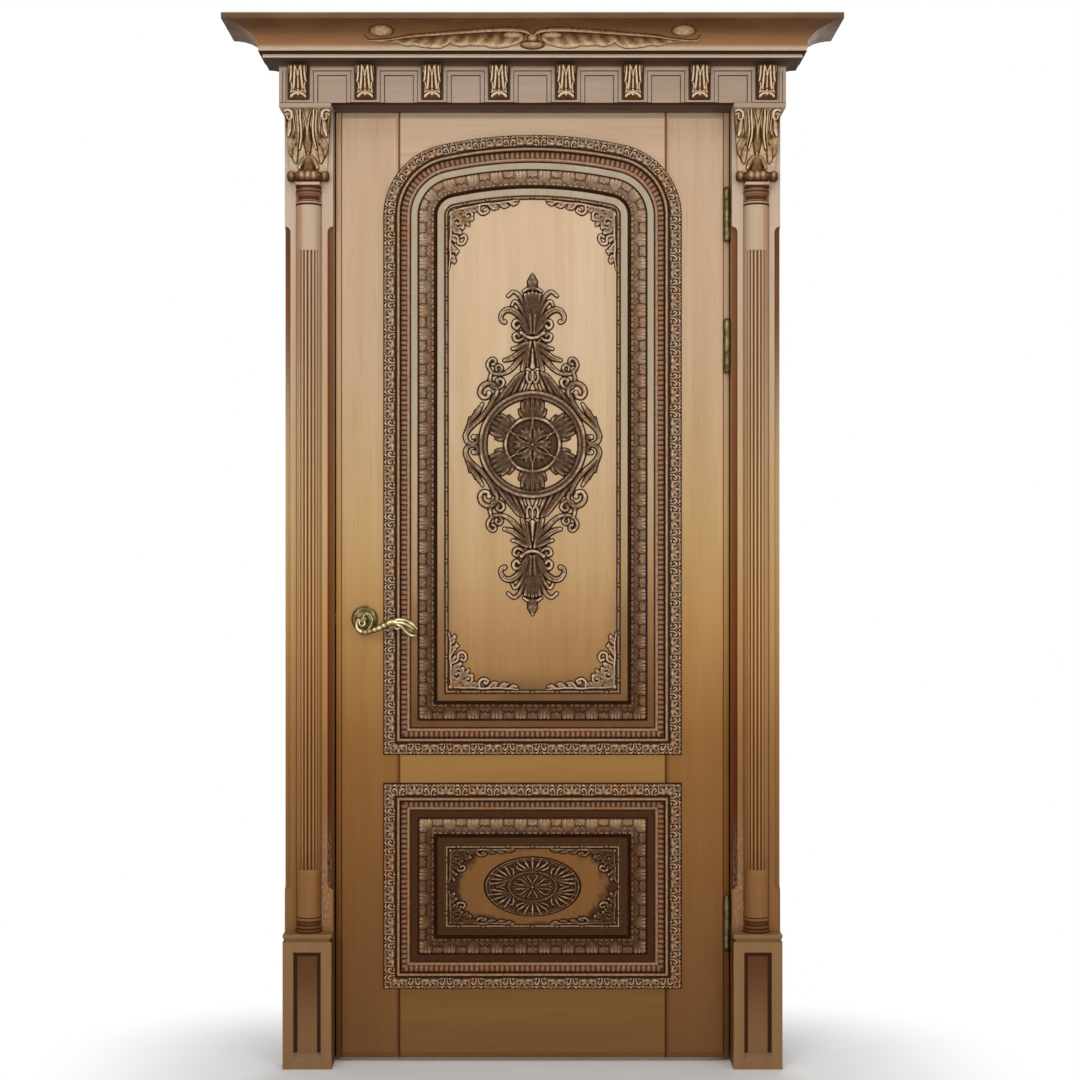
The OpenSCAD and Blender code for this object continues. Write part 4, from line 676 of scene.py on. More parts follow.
def frieze_shade(f):
    """Fine dark lines where the sunk panels step down, darker towards the top and the brackets."""
    pitch = BRACKET_PITCH * MM
    cell = f.less(f.math("FRACT", f.plus(f.over(f.x, pitch), 20.5)), 0.5)
    away = f.times(f.absolute(cell), pitch)
    sunk = f.span(f.y, (FRIEZE_Y + 0.4) * MM, (FRIEZE_Y + 1.0) * MM)
    outer = f.times(near(f, away, 0.0388, 0.0006, 0.0007), f.span(f.z, 2.0656, 2.0660, 1.0, 0.0))
    lines = f.most(outer,
                   f.times(near(f, away, 0.0298, 0.0006, 0.0007),
                           f.span(f.z, 2.0566, 2.0570, 1.0, 0.0)))
    level = f.times(near(f, f.z, 2.0653, 0.0006, 0.0007), f.span(away, 0.0396, 0.0400, 1.0, 0.0))
    inner = f.times(near(f, f.z, 2.0563, 0.0006, 0.0007), f.span(away, 0.0306, 0.0310, 1.0, 0.0))
    lines = f.times(f.most(lines, f.most(level, inner)), sunk)
    side = f.absolute(f.x)
    ends = f.times(f.most(near(f, side, 0.5090, 0.0006, 0.0007),
                          near(f, side, 0.5160, 0.0006, 0.0007)),
                   f.span(f.z, 2.0645, 2.0652, 1.0, 0.0))
    lines = f.times(f.most(lines, ends), front_side(f, FRIEZE_Y + 14))
    top = f.span(f.z, 2.070, 2.075, 0.0, 0.75)
    # Painted shade on the underside (under), and a painted shadow beside each bracket (rim)
    under = f.times(f.span(f.z, 2.0003, 2.0009, 1.0, 0.0), f.span(f.y, -0.034, -0.004, 0.97, 0.80))
    beside = f.less(pitch / 2, away)
    rim = f.times(f.span(beside, 0.0226, 0.0240, 0.88, 0.0), f.span(f.z, 2.0040, 2.0050))
    rim = f.times(rim, f.span(f.y, (FRIEZE_Y + 0.2) * MM, (FRIEZE_Y + 0.5) * MM, 1.0, 0.0))
    dark = f.most(f.most(f.times(lines, 0.8), top), rim)
    return f.most(dark, under)


def crown_shade(f):
    """The crown's hollow is dark at its top and the board above it darker still; a black line
    runs under the lip and the hollow of the bed mould is dark."""
    cove = f.times(f.span(f.z, 2.112, 2.144, 0.0, 0.66), f.span(f.z, 2.1455, 2.1465, 1.0, 0.86))
    cloud = f.noise((9, 9, 26), detail=4)
    cove = f.times(cove, f.span(cloud, 0.3, 0.7, 0.72, 1.05))
    line = near(f, f.z, 2.0945, 0.0026, 0.0008)
    bed = f.span(f.z, 2.0835, 2.0865, 0.9, 0.0)
    return f.most(cove, f.most(f.times(line, 0.97), bed), clamp=True)


def crown_highlight(f):
    """Painted highlights: a pale lip at the foot of the hollow, a pale line low on the bed mould
    and a pale edge of the board.
    """
    lip = f.times(f.span(f.z, 2.0965, 2.0985), f.span(f.z, 2.102, 2.111, 1.0, 0.0))
    lip = f.most(lip, near(f, f.z, 2.0868, 0.0010, 0.0010))
    edge = f.times(near(f, f.z, 2.1572, 0.0006, 0.0010), 0.5)
    cloud = f.noise((24, 24, 60), detail=3)
    return f.times(f.most(lip, edge), f.span(cloud, 0.25, 0.6, 0.65, 1.0))


def worn_patch(f):
    """Pale flaked wood low on the boards, on the side of each column next to the leaf."""
    flake = f.noise((430, 430, 120), detail=4, rough=0.7)
    side = f.times(f.span(f.absolute(f.x), 0.418, 0.424),
                   f.span(f.absolute(f.x), 0.438, 0.447, 1.0, 0.0))
    zone = f.times(f.span(f.z, 0.28, 0.30), f.span(f.z, 0.42, 0.56, 1.0, 0.0))
    return f.times(f.times(side, zone), f.span(flake, 0.46, 0.60, 0.0, 0.34))


BRASS_STOPS = [(0.0, (0.020, 0.014, 0.006)), (0.4, (0.16, 0.118, 0.050)),
               (0.7, (0.36, 0.285, 0.130)), (1.0, (0.72, 0.62, 0.38))]


def brass(name, seed, level=None, dull=1.0):
    """Antique brass: brightness from the tone attribute, a painted highlight along the front of
    each lever's tubes, or from a fixed level, with clouds of patina.
    """
    f = Finish(name)
    cloud = f.noise((70, 70, 70), detail=5, rough=0.65, move=(seed, seed, 0))
    scratch = f.noise((900, 900, 60), detail=2, move=(0, seed, 0))
    patina = f.span(cloud, 0.3, 0.7, 0.0, 0.42)
    patina_and_highlight = f.plus(patina, f.times(f.attribute("tone"), 0.68) if level is None else level,
                  clamp=True)
    colour = f.ramp(patina_and_highlight, [(at, tuple(dull * c for c in shade)) for at, shade in BRASS_STOPS])
    return f.surface(colour, f.span(patina_and_highlight, 0.2, 0.9, 0.56, 0.30), scratch, 0.06, metal=1.0,
                     distance=0.0003)


CROWN_STAIN = [(0.0, (0.40, 0.290, 0.215)), (0.9525, (0.42, 0.310, 0.232)),
               (0.9555, (0.30, 0.150, 0.062)), (0.976, (0.27, 0.125, 0.050)),
               (0.980, (0.215, 0.165, 0.092))]
FRIEZE_STAIN = [(0.0, (0.38, 0.285, 0.215)), (1.0, (0.40, 0.30, 0.228))]
FINISHES = {
    "leaf_upright": oak("stile_oak", "z", STAIN, 3.0, stile_shade, red=True),
    "leaf_level": oak("rail_oak", "x", RAIL_STAIN, 7.0, rail_shade, red=True),
    "back_level": oak("back_mould_oak", "x", STAIN, 13.0),
    "upper_field": oak("upper_field_oak", "z", FIELD_STAIN, 11.0, arch_shade, tint=flat_tint),
    "lower_field": oak("lower_field_oak", "z", FIELD_STAIN, 19.0, lens_shade),
    "frame_upright": oak("jamb_oak", "z", STAIN, 23.0),
    "pilaster": oak("pilaster_oak", "z", POST_STAIN, 29.0, hollow_shade, worn_patch, red=True),
    "column": oak("column_oak", "z", SHAFT_STAIN, 31.0, flute_shade, tint=shaft_side_shade, red=True),
    "plinth": oak("plinth_oak", "z", PLINTH_STAIN, 37.0, plinth_shade, plinth_ledge_highlight, red=True),
    "cap": oak("plinth_cap_oak", "x", PLINTH_STAIN, 39.0),
    "frieze": oak("frieze_oak", "x", FRIEZE_STAIN, 41.0, frieze_shade),
    "slab": oak("slab_oak", "x", FRIEZE_STAIN, 47.0),
    "crown": oak("crown_oak", "x", CROWN_STAIN, 43.0, crown_shade, crown_highlight),
    "carving": carved("carved_oak", CARVED_STOPS, 5.0),
    "bronzed": carved("medallion_oak", BRONZED_STOPS, 15.0),
    "reddish": carved("dentil_oak", REDDISH_STOPS, 17.0),
    "gilded": carved("rubbed_and_highlit_carving", GILT_STOPS, 9.0, 0.5),
    "brass": brass("antique_brass", 2.0),
    "plate_brass": brass("plate_brass", 6.0, 0.30, 0.48),
    "rose_brass": brass("rose_brass", 8.0, 0.20, 0.85)}


# Carved mouldings round the panels


def band_motif(cells, pitch):
    """Running acanthus: a palmette of five lobes and two curls set back to back in each length,
    on a slope that rises to a dark quirk and a round fillet."""
    inset = np.concatenate([[-31.5, -31.0], np.linspace(-30, -5.0, 22),
                            [-4.4, -3.6, -2.8, -1.4, 0.2, 1.8, 3.2, 4.4, 5.6, 6.2, 6.4]])
    v = Relief(np.arange(cells) / cells * pitch, inset + 31.0, repeat=pitch)
    first, second = pitch * 0.25, pitch * 0.75
    for k, a in enumerate(np.radians([-78, -42, 0, 42, 78])):
        reach = 17.5 - 2.5 * abs(k - 2)
        way = np.array([np.sin(a), -np.cos(a)])
        v.stroke([np.array([first, 21.5]) + way * 3, np.array([first, 21.5]) + way * reach * 0.6,
                  np.array([first + 1.6 * (k - 2), 21.5]) + way * reach], [2.0, 3.8, 3.0],
                 [4.5, 6.0, 4.8], 0.35)
    for s in (-1, 1):
        v.stroke([(second + 2.6 * s, 24), (second + 3.2 * s, 16), (second + 8.4 * s, 11),
                  (second + 12.0 * s, 15), (second + 8.8 * s, 18.2)], [1.8, 2.2, 2.4, 2.2, 1.8],
                 [4.4, 5.8, 6.0, 5.4, 4.6], 0.25)
        v.stroke([(second + 2.8 * s, 9.6), (second + 7.4 * s, 4.2), (second + 12.4 * s, 5.6)],
                 [1.8, 2.4, 2.0], [4.6, 5.8, 4.6], 0.25)
        v.stroke([(second + 15.8 * s, 22), (second + 16.8 * s, 13), (second + 15.6 * s, 4)],
                 [1.8, 2.4, 2.0], [4.2, 5.4, 4.4], 0.2)
        v.stroke([(second + 7.6 * s, 23.4), (second + 12 * s, 22.6)], [2.0, 1.8], [4.8, 4.2], 0.2)
        v.stroke([(first + 13 * s, 21), (first + 15 * s, 13)], [2.4, 2.0], [4.8, 4], 0.2)
        v.stroke([(first + 4.6 * s, 3.6), (first + 8.6 * s, 7.0)], [2.2, 2.0], [5.0, 4.2], 0.2)
        v.stroke([(first + 10.4 * s, 2.8), (first + 14.4 * s, 6.0)], [2.2, 2.0], [5.0, 4.2], 0.2)
    v.stroke([(second, 4.6)], 2.2, 5.2)
    v.stroke([(second, 12.4)], 1.9, 5.4)
    v.stroke([(0, 4)], 2.6, 4.6, 0.2)
    v.stroke([(pitch / 2, 4)], 2.6, 4.6, 0.2)
    base = np.interp(inset,
                     [-31.5, -31, -28, -10, -5, -4.4, -2.8, -1.4, 0.2, 1.8, 3.2, 4.4, 5.6, 6.4],
                     [-1.0, 2.0, 5.0, 11.5, 12.6, 10.5, 12.5, 16.6, 19.0, 20.0, 19.2, 16.5, 9.0,
                      2.0])
    live = np.where((inset > -31.2) & (inset < -4.8), 1.0, 0.0)
    height = base + v.height * live
    # Tone: patina with painted light: a painted highlight on the crest of each lobe, a dark ground,
    # painted shade along the band's outer edge, then a dark quirk and a pale round fillet
    crest_highlight = (v.height / 6.0) ** 3
    tone = 0.34 + 0.66 * (tone_of(v.height * live, 3, 2.6, wrap=True) - 0.32) + 0.46 * crest_highlight
    tone = np.where(v.height < 0.6, 0.23, tone)
    rim = np.interp(inset, [-31, -29.8, -28.6, -6, -5], [0.0, 0.1, 1, 1, 0.5])
    tone = np.where(inset < -4.8, tone * rim,
                    np.interp(inset, [-4.4, -3.0, -2.0, -1.0, 0.2, 3.2, 4.6, 5.4],
                              [0.06, 0.08, 0.4, 0.66, 0.82, 0.78, 0.3, 0.05])[None, :])
    return inset, height, np.clip(tone, 0, 1)


def dentil_motif(cells):
    """Square teeth on a slope that falls to the panel, a wide round fillet and a sunk line."""
    inset = np.array([6.3, 6.6, 7.4, 9, 11, 13, 15, 17, 18.4, 19.0, 19.8, 20.8, 22.0, 23.2, 24.2,
                      25.0, 25.6, 26.6, 27.4, 28.2])
    phase = np.abs(np.arange(cells) / cells - 0.5)
    tooth = np.clip((0.33 - phase) / 0.07, 0, 1)
    slope = np.interp(inset, [6.3, 7.4, 18.4, 19.0, 19.8, 22.0, 24.2, 25.0, 25.6, 27.4, 28.2],
                      [13.5, 12.6, 8.0, 6.4, 7.6, 7.2, 5.0, 3.2, 2.3, 2.3, 1.6])
    zone = np.interp(inset, [6.6, 7.4, 18.4, 19.0], [0, 1, 1, 0])
    height = slope - zone[None, :] * (1 - tooth[:, None]) * 4.0
    # Tone: dark at the outer edge, in the sunk line and in the gaps between the teeth, patina with
    # painted shade; the teeth and the fillet paler
    tone = np.interp(inset,
                     [6.3, 7.2, 8.4, 10, 17, 18.4, 19.0, 19.8, 20.8, 23.2, 24.2, 25.0, 25.6, 27.4],
                     [0.02, 0.1, 0.5, 0.56, 0.60, 0.5, 0.26, 0.62, 0.74, 0.70, 0.6, 0.2, 0.05,
                      0.05])
    tone = tone[None, :] * mix(np.ones(cells)[:, None], np.clip(tooth[:, None], 0.42, 1),
                               zone[None, :])
    return inset, height, tone


def tongue_motif(cells, pitch):
    """Leaf and tongue: a fan of ribs about place 0 that spreads to the outer edge, a square shield
    half way to the next fan with a cut round it, two curls under the shield and a row of beads."""
    inset = np.concatenate([[40.0, 40.6, 41.6, 42.8, 43.4], np.linspace(44.4, 75.6, 26),
                            [76.4, 77.2, 78.4, 81.0, 82.8, 83.4]])
    x = np.arange(cells) / cells * pitch
    from_fan = ((x + pitch / 2) % pitch - pitch / 2)[:, None]
    from_shield = pitch / 2 - np.abs(from_fan)
    o = inset[None, :]
    v = Relief(x, inset, repeat=pitch)
    half = pitch / 2
    for s in (-1, 1):
        v.stroke([(half + s * 3.0, 62.5), (half + s * 8.0, 65.5), (half + s * 11.5, 70)],
                 [1.3, 1.7, 1.4], [1.6, 2.2, 1.8])
    for k in range(4):
        v.stroke([((k + 0.5) * pitch / 4 - 2.6, 72.8), ((k + 0.5) * pitch / 4 + 2.6, 72.8)], 2.7,
                 3.4)
    turn = np.arctan2(from_fan, 86.0 - o)
    rib = np.abs(np.cos(np.pi * turn / 0.19)) ** 0.7
    tip = 44.6 + 1.8 * (1 - rib)
    inside = np.clip((0.40 - np.abs(turn)) / 0.02, 0, 1) * np.clip((o - tip) / 1.0, 0, 1)
    ridge = np.interp(inset, [44, 47, 58, 68], [0.9, 1, 0.7, 0.15])[None, :]
    fan = inside * (1.4 + 2.4 * rib * ridge)
    wide = (np.interp(inset, [45.0, 46.0, 56.0, 59.0], [9.6, 10.4, 10.0, 8.6])[None, :])
    foot = 58.0 + 1.6 * np.cos(2 * np.pi * from_shield / 10.0)
    gap = np.where(o > 44.8, np.minimum(wide - from_shield, foot - o), -9.0)
    plate = np.clip(gap / 0.9, 0, 1) * 2.6
    cut = np.exp(-(((gap + 0.8) / 0.9) ** 2))
    relief = np.maximum(np.maximum(v.height, fan), plate)
    base = np.interp(inset,
                     [40.0, 40.6, 42.8, 43.4, 44.4, 58, 74, 75.6, 76.4, 77.2, 78.4, 82.8, 83.4],
                     [1.6, 2.3, 2.4, 3.4, 4.6, 5.8, 8.8, 9.0, 8.0, 3.0, 2.4, 2.4, 1.8])
    live = np.interp(inset, [43.4, 44.4, 75.4, 76.4], [0, 1, 1, 0])[None, :]
    height = base + relief * live
    # Tone: patina with painted light: paler ribs on the fans and pale shields, painted shade in the
    # cut round each shield, between the beads and along the moulding's edges
    tone = 0.56 + 0.4 * (tone_of(relief * live, 2, 2.0, wrap=True) - 0.5)
    blade = np.interp(inset, [44, 52, 62, 72], [0.60, 0.54, 0.46, 0.42])[None, :]
    ribbed = rib * np.interp(inset, [44, 48, 60, 72], [0.34, 0.30, 0.20, 0.08])[None, :]
    tone = np.where(fan > 1.0, blade + ribbed, tone)
    tone = np.where(plate > 2.2, 0.68, tone)
    tone = np.where((o > 70.2) & (v.height < 1.2), 0.22, tone)
    tone = tone * (1 - 0.86 * cut)
    edge = np.interp(inset, [40.0, 40.4, 42.9, 43.6, 44.6, 75.6, 76.6, 77.4],
                     [0.4, 0.03, 0.03, 0.3, 1, 1, 0.25, 0.03])
    return inset, height, np.clip(tone * edge, 0, 1)


def reed_motif(cells):
    """A round reed between two dark sunk lines, pinched at each knot."""
    inset = np.array([95.8, 96.6, 97.8, 98.8, 99.8, 100.6, 101.4, 102.2, 103.0, 103.8, 104.6, 105.6,
                      106.6, 107.4])
    phase = np.arange(cells) / cells
    knot = np.exp(-(((phase - 0.5) / 0.045) ** 2))[:, None]
    u = np.clip(np.abs(inset[None, :] - 102.2 + 0.9 * knot) / mix(2.6, 3.6, knot), 0, 1)
    height = FIELD + 0.25 + 3.4 * np.sqrt(1 - u**2)
    height[:, [0, -1]] = FIELD - 0.5
    # Tone: a painted highlight along the crown of the round reed, painted shade down its sides and
    # in the notches by each knot
    tone = np.interp(u, [0, 0.4, 0.75, 1.0], [0.82, 0.72, 0.3, 0.10])
    notch = sum(np.exp(-(((phase - at) / 0.03) ** 2))[:, None] for at in (0.42, 0.58))
    tone = tone * (1 - 0.7 * notch)
    tone = np.where((inset < 98.2) | (inset > 105.9), 0.34, tone)
    return inset, height - 1.0 * notch * (u < 1), tone


BAND_PITCH, TONGUE_PITCH = 66.0, 50.0
TONGUES = "carved_tongues"
# Piece, node, length of a motif, inset at which motifs are whole, motif, finish
MOULDINGS = (
    ("carved_band", "leaf_band", BAND_PITCH, -15.0, band_motif(47, BAND_PITCH), "carving"),
    ("carved_dentils", "dentils", 10.5, 12.0, dentil_motif(8), "reddish"),
    (TONGUES, "tongue_mould", TONGUE_PITCH, 58.0, tongue_motif(38, TONGUE_PITCH), "carving"),
    ("carved_reed", "reed", 51.0, 101.0, reed_motif(24), "carving"))
# Power of the tongues' tone by height, so they darken towards the foot of each panel
UPPER_POWER = ((700, 780, 1100, 1500, 1750), (1.75, 1.65, 1.35, 1.05, 0.80))
LOWER_POWER = ((470, 500), (1.7, 0.85))
for word, ring, power in (("upper", UPPER, UPPER_POWER), ("lower", LOWER, LOWER_POWER)):
    for piece, node, pitch, at, motif, finish in MOULDINGS:
        ring_piece(word + "_" + piece, ring, pitch, at, motif, finish, word + "_" + node,
                   power if piece == TONGUES else None)


# Upper medallion, drawn in the carver's units from its middle, for one quarter


# Outer radius of the medallion's hub, in the carver's units
HUB_R = 29.4


def medallion():
    """Scrolls, plumes and leaves above and below a ring with a flower, mirrored both ways."""
    step = 1.3
    xs = np.arange(-75 * UNIT, 75 * UNIT + step, step)
    zs = np.arange(-172 * UNIT, 172 * UNIT + step, step)
    v = Relief(xs - xs.mean(), zs - zs.mean())

    def go(points, half, rise, vein=0.0):
        v.stroke(np.asarray(points, float) * UNIT, np.asarray(half, float) * UNIT, rise, vein)

    # Finial and fan
    go([(0, 158.5), (0, 162.5), (0, 166.5), (0, 171.3)], [4.6, 5.2, 3.2, 0.9], [8, 10, 8, 4])
    go([(0, 157), (5, 156), (9, 153.5)], [2, 1.8, 1.3], 6)
    for k, lean in ((0, 0.0), (1, 3.6), (2, 7.0)):
        go([(lean * 0.35, 112), (lean * 0.7, 134), (lean, 152 - k)], [1.4, 2.2, 2.0], [6, 8, 8],
           0.35)
    # Plumes and curls
    go([(4, 126), (9, 140), (13, 149), (19, 153), (24.5, 149)], [2.0, 2.3, 2.2, 1.9, 1.6],
       [7, 7, 6], 0.2)
    go([(6, 122), (10, 134), (14, 141), (18, 143.5), (20.5, 139.5)], [1.8, 2.2, 2.0, 1.8, 1.6],
       [7, 7, 6])
    go([(3.5, 111), (8, 122), (15, 131), (22, 135), (28, 134), (31.5, 129), (31, 124.5), (28, 123)],
       [2.2, 3.0, 3.2, 3.0, 2.6, 2.2, 2.0, 2.4], [8, 9, 9, 8, 7], 0.35)
    go([(5, 111), (9, 118), (13, 123.5), (17.5, 123.5), (19, 119.5), (16, 116.5), (13.5, 118.8)],
       [2.0, 2.3, 2.2, 2.1, 2.0, 2.2], [7, 8, 8])
    go([(1.5, 112), (2, 122), (2.5, 130)], [1.6, 2.2, 1.6], 9)
    # Collar and the curls under it
    go([(-11, 111.5), (-5, 107.8), (0, 106.6), (5, 107.8), (11, 111.5)], [2.8, 2.0, 2.1, 2.0, 2.8],
       10)
    go([(9, 107), (13, 104.5), (17, 105), (18.5, 109), (15.5, 111), (13.8, 108.8)],
       [1.8, 2.1, 2.1, 2.0, 2.2], [7, 8])
    # Skirt of leaves
    go([(5, 102), (10, 99.5), (15, 97), (20, 96)], [2.0, 2.6, 2.4, 1.6], [8, 8, 6], 0.3)
    go([(5, 98), (13, 92), (20, 87), (28, 84.5)], [2.2, 2.9, 2.8, 1.9], [8, 9, 6], 0.35)
    go([(5, 92), (13, 85), (20, 77), (27, 72), (35, 70.5), (41, 73)],
       [2.2, 2.8, 2.5, 2.0, 1.7, 1.5], [8, 8, 7, 6], 0.3)
    go([(4, 101), (7, 87), (10, 75)], [2.0, 2.9, 2.3], [8, 9, 7], 0.35)
    go([(2, 103), (4, 90), (5.4, 79)], [1.7, 2.0, 1.6], [8, 8, 6])
    go([(0, 96), (0, 78)], [1.1, 3.0], [8, 10])
    go([(5, 72.5), (5.6, 66), (3, 62), (0.4, 65)], [1.7, 1.8, 1.8, 1.6], 8)
    go([(0, 73), (0, 66)], [1.6, 1.4], 8)
    for foot, tip in (((3, 61), (6, 51.5)), ((7, 68), (13, 52)), ((9, 72), (20, 50)),
                      ((11.5, 71), (27, 47.5)), ((14, 70), (34, 43.5)), ((16, 68), (39, 39))):
        go([foot, tip], [1.7, 1.9], [7, 5.5], 0.2)
    # Small scrolls and the large scroll with its long leaf
    go([(33, 71.5), (39, 71), (44, 77), (44.5, 82), (41, 86), (37.5, 85), (37.5, 81.5), (40, 80.5)],
       [1.6, 1.8, 1.9, 1.8, 1.7, 1.6, 1.8], 6)
    go([(33, 72), (30.5, 76), (33, 79.5), (36.5, 78), (36, 74.5)], [1.5, 1.7, 1.7, 1.6], 5.5)
    go([(41, 73), (42.5, 65), (40, 58.5), (35, 56.5), (30.5, 59), (29, 63), (32, 66), (35.5, 64),
        (34.2, 61)], [1.8, 2.2, 2.3, 2.2, 2.1, 2.0, 1.9, 2.2, 2.6], 7)
    go([(37, 48), (35.5, 54), (38.5, 60), (44.5, 61.5), (50.5, 58), (52.5, 52), (49.5, 47.5),
        (45, 48), (43.5, 51.5)], [2.2, 2.4, 2.6, 2.8, 2.7, 2.5, 2.3, 2.9], [7, 8, 9, 9])
    go([(38, 49), (41, 41), (46, 33), (53, 25.5), (60, 19.5), (65, 13.5), (67, 8), (65, 2.5),
        (59.5, 0.4), (55, 3), (55.5, 7.4), (58.8, 7.6)],
       [2.4, 2.8, 2.8, 2.6, 2.6, 2.6, 2.4, 2.2, 2.1, 2.1, 2.6], [7, 8, 7], 0.25)
    go([(50, 41), (53, 36), (57, 30), (62, 23), (66, 15)], [1.3, 2.2, 2.6, 2.4, 1.6], [5, 7, 6],
       0.2)
    for at, to in (((55, 33), (51, 40)), ((60, 26), (57, 34)), ((64, 19), (63, 27))):
        go([at, to], [1.8, 1.0], [6, 4])
    v.mirrored(0)
    v.mirrored(1)

    # Ring, hub and leaves about the middle
    gx, gz = np.meshgrid(v.xs, v.zs, indexing="ij")
    r = np.hypot(gx, gz) / UNIT
    ring = np.interp(r, [45.8, 46.4, 48, 49.2, 50.0, 51.8, 53.4, 54.3],
                     [0, 5, 7.5, 6, 8.0, 10.0, 8, 0])
    hub = np.interp(r, [0, 14, 22, 24.2, 25.0, 25.8, 26.6, 28.2, HUB_R],
                    [5.0, 3.6, 2.6, 2.4, 2.4, 6.6, 8.8, 7.0, 2.0]) * (r < HUB_R)
    lower = Relief(v.xs, v.zs)
    for a in np.radians(np.arange(0, 360, 60)):
        spin = np.array([[np.cos(a), np.sin(a)], [-np.sin(a), np.cos(a)]])
        for s in (-1, 1):
            for line, half, rise in ((((1.8, 27), (4.4, 36), (4.6, 44.5)), (2.2, 3.4, 2.2),
                                      (7, 10, 5)),
                                     (((3.6, 27), (8.0, 34), (10.0, 41)), (2.2, 3.2, 2.0),
                                      (7, 10, 5)),
                                     (((5.6, 26), (10.4, 30), (12.6, 34.5)), (2.0, 2.7, 1.7),
                                      (6, 8, 4)),
                                     (((0.6, 3), (2.6, 9), (1.2, 17.5)), (1.2, 2.2, 1.0),
                                      (10, 12, 7)),
                                     (((1.8, 8), (6.0, 12), (6.4, 17)), (1.1, 2.2, 1.1),
                                      (9, 12, 6.5)),
                                     (((2.0, 5), (6.9, 8.6), (11.4, 11.8)), (1.0, 2.1, 1.1),
                                      (9, 12, 6.5))):
                lower.stroke(np.asarray(line) * [s, 1] @ spin * UNIT, np.asarray(half) * UNIT, rise,
                             0.3)
        lower.stroke(np.array([(0, 26), (0, 36), (0, 46.0)]) @ spin * UNIT,
                     np.array([2.2, 3.0, 2.2]) * UNIT, (9, 10, 6), 0.3)
        lower.stroke(np.array([(0, 17), (0, 25)]) @ spin * UNIT, np.array([1.0, 0.9]) * UNIT,
                     (7, 6.5))
    lower.stroke([(0, 0)], 2.4 * UNIT, 11)
    inside = r < 46.2
    v.height = np.where(inside, np.maximum(hub, lower.height), v.height)
    v.height = np.maximum(v.height, ring * (r > 45.6))
    v.reach = np.where(inside, np.maximum(lower.reach, (HUB_R - r) * UNIT), v.reach)
    v.reach = np.maximum(v.reach, (4.4 - np.abs(r - 50.0)) * UNIT)
    p, q, t = relief_surface(v, 3, 2.8)
    return p + [0, 0, MEDALLION_Z], q, t


put_mesh("upper_carved_medallion", *medallion(), "leaf", "bronzed", ("upper_medallion",))


# Corner carvings, drawn in the carver's units from the corner along each border


def corner_relief(across, up, lift):
    """Leaves and hooked tendrils that run both ways from a corner; across and up scale the
    drawing along each border, and lift adds to the tone."""
    step = 1.2
    v = Relief(np.arange(-3, 72 * across * UNIT + 5, step), np.arange(-3, 59 * up * UNIT + 5, step))

    def go(points, half, rise, vein=0.0):
        v.stroke(np.asarray(points, float) * [across * UNIT, up * UNIT],
                 np.asarray(half, float) * UNIT, rise, vein)

    fat = 0.62 + 0.62 * up
    go([(2, 3), (9, 9), (18, 17), (20.5, 20.5)], [1.6 * fat, 2.2 * fat, 1.8 * fat, 0.9],
       [5, 6.5, 5, 3], 0.3)
    v.scroll(np.array([9 * across, 15 * up]) * UNIT, 5.4 * fat * UNIT, 1, 0.6, 1.35 * fat * UNIT,
             5.5, 1.3)
    v.scroll(np.array([19.5 * across, 10 * up]) * UNIT, 4.6 * fat * UNIT, -1, 2.6, 1.3 * fat * UNIT,
             5.5, 1.2)
    go([(5, 6), (10, 5), (14, 5.5)], [1.4, 2.0 * fat, 1.2], [5, 6, 4], 0.2)
    for foot, tip in (((12, 11), (13, 17)), ((15, 14), (14, 21)), ((11, 10), (17, 6)),
                      ((14, 13), (23, 14)), ((5, 8), (4, 13)), ((16, 4), (22, 5.5)),
                      ((4, 17), (6, 22)), ((8, 21), (11, 25))):
        go([foot, tip], [1.5, 1.9 * fat], [5, 6], 0.2)
    go([(6, 3), (14, 2.5), (24, 2.5), (34, 1.5), (46, 2), (58, 1.5), (70, 0.5)],
       [1.5, 1.4, 1.3, 1.2, 1.1, 1.0, 0.8], 5)
    go([(31, 2), (31, 8), (35, 11), (39.5, 9), (38, 6)], [1.4, 1.5, 1.5, 1.4, 1.2], 5.5)
    go([(36.6, 7.4)], 1.9, 6)
    for foot, mid, tip in (((40, 2), (45, 6.2), (49.5, 7)), ((51, 2), (55.5, 5.4), (60, 5.6)),
                           ((61, 1.6), (65, 3.6), (69, 3)), ((22, 2.6), (25, 6), (28, 7))):
        go([foot, mid, tip], [1.2, 1.8 * fat, 0.9], [5, 5.8, 3.5], 0.2)
    go([(3, 6), (2.5, 14), (2.5, 24), (1.5, 34), (2, 46), (0.5, 57)],
       [1.5, 1.4, 1.3, 1.2, 1.0, 0.8], 5)
    go([(4, 27), (9, 30), (10, 36), (14.5, 37.5), (17.5, 33.5), (16, 29.5), (13, 30.5)],
       [1.4, 1.5, 1.5, 1.5, 1.4, 1.3, 1.5], 5.5)
    for foot, mid, tip in (((2, 38), (6, 41.5), (8, 46.5)), ((2, 46), (5, 49.5), (6, 55)),
                           ((3, 20), (6.5, 22.5), (8, 26))):
        go([foot, mid, tip], [1.2, 1.8 * fat, 0.9], [5, 5.8, 3.5], 0.2)
    for foot, tip in (((2, 28), (7, 33)), ((2, 34), (5, 40)), ((6, 24), (12, 26)),
                      ((3, 42), (8.5, 44)), ((2, 50), (6, 53)), ((26, 3), (30, 6)),
                      ((44, 2), (47, 5)), ((54, 2), (57, 4.5)), ((3, 12), (7, 19)),
                      ((17, 3), (15, 9))):
        go([foot, tip], [1.2, 1.6 * fat], [5, 6], 0.2)
    return relief_surface(v, 2, 1.9, skirt=2.0, lift=lift)


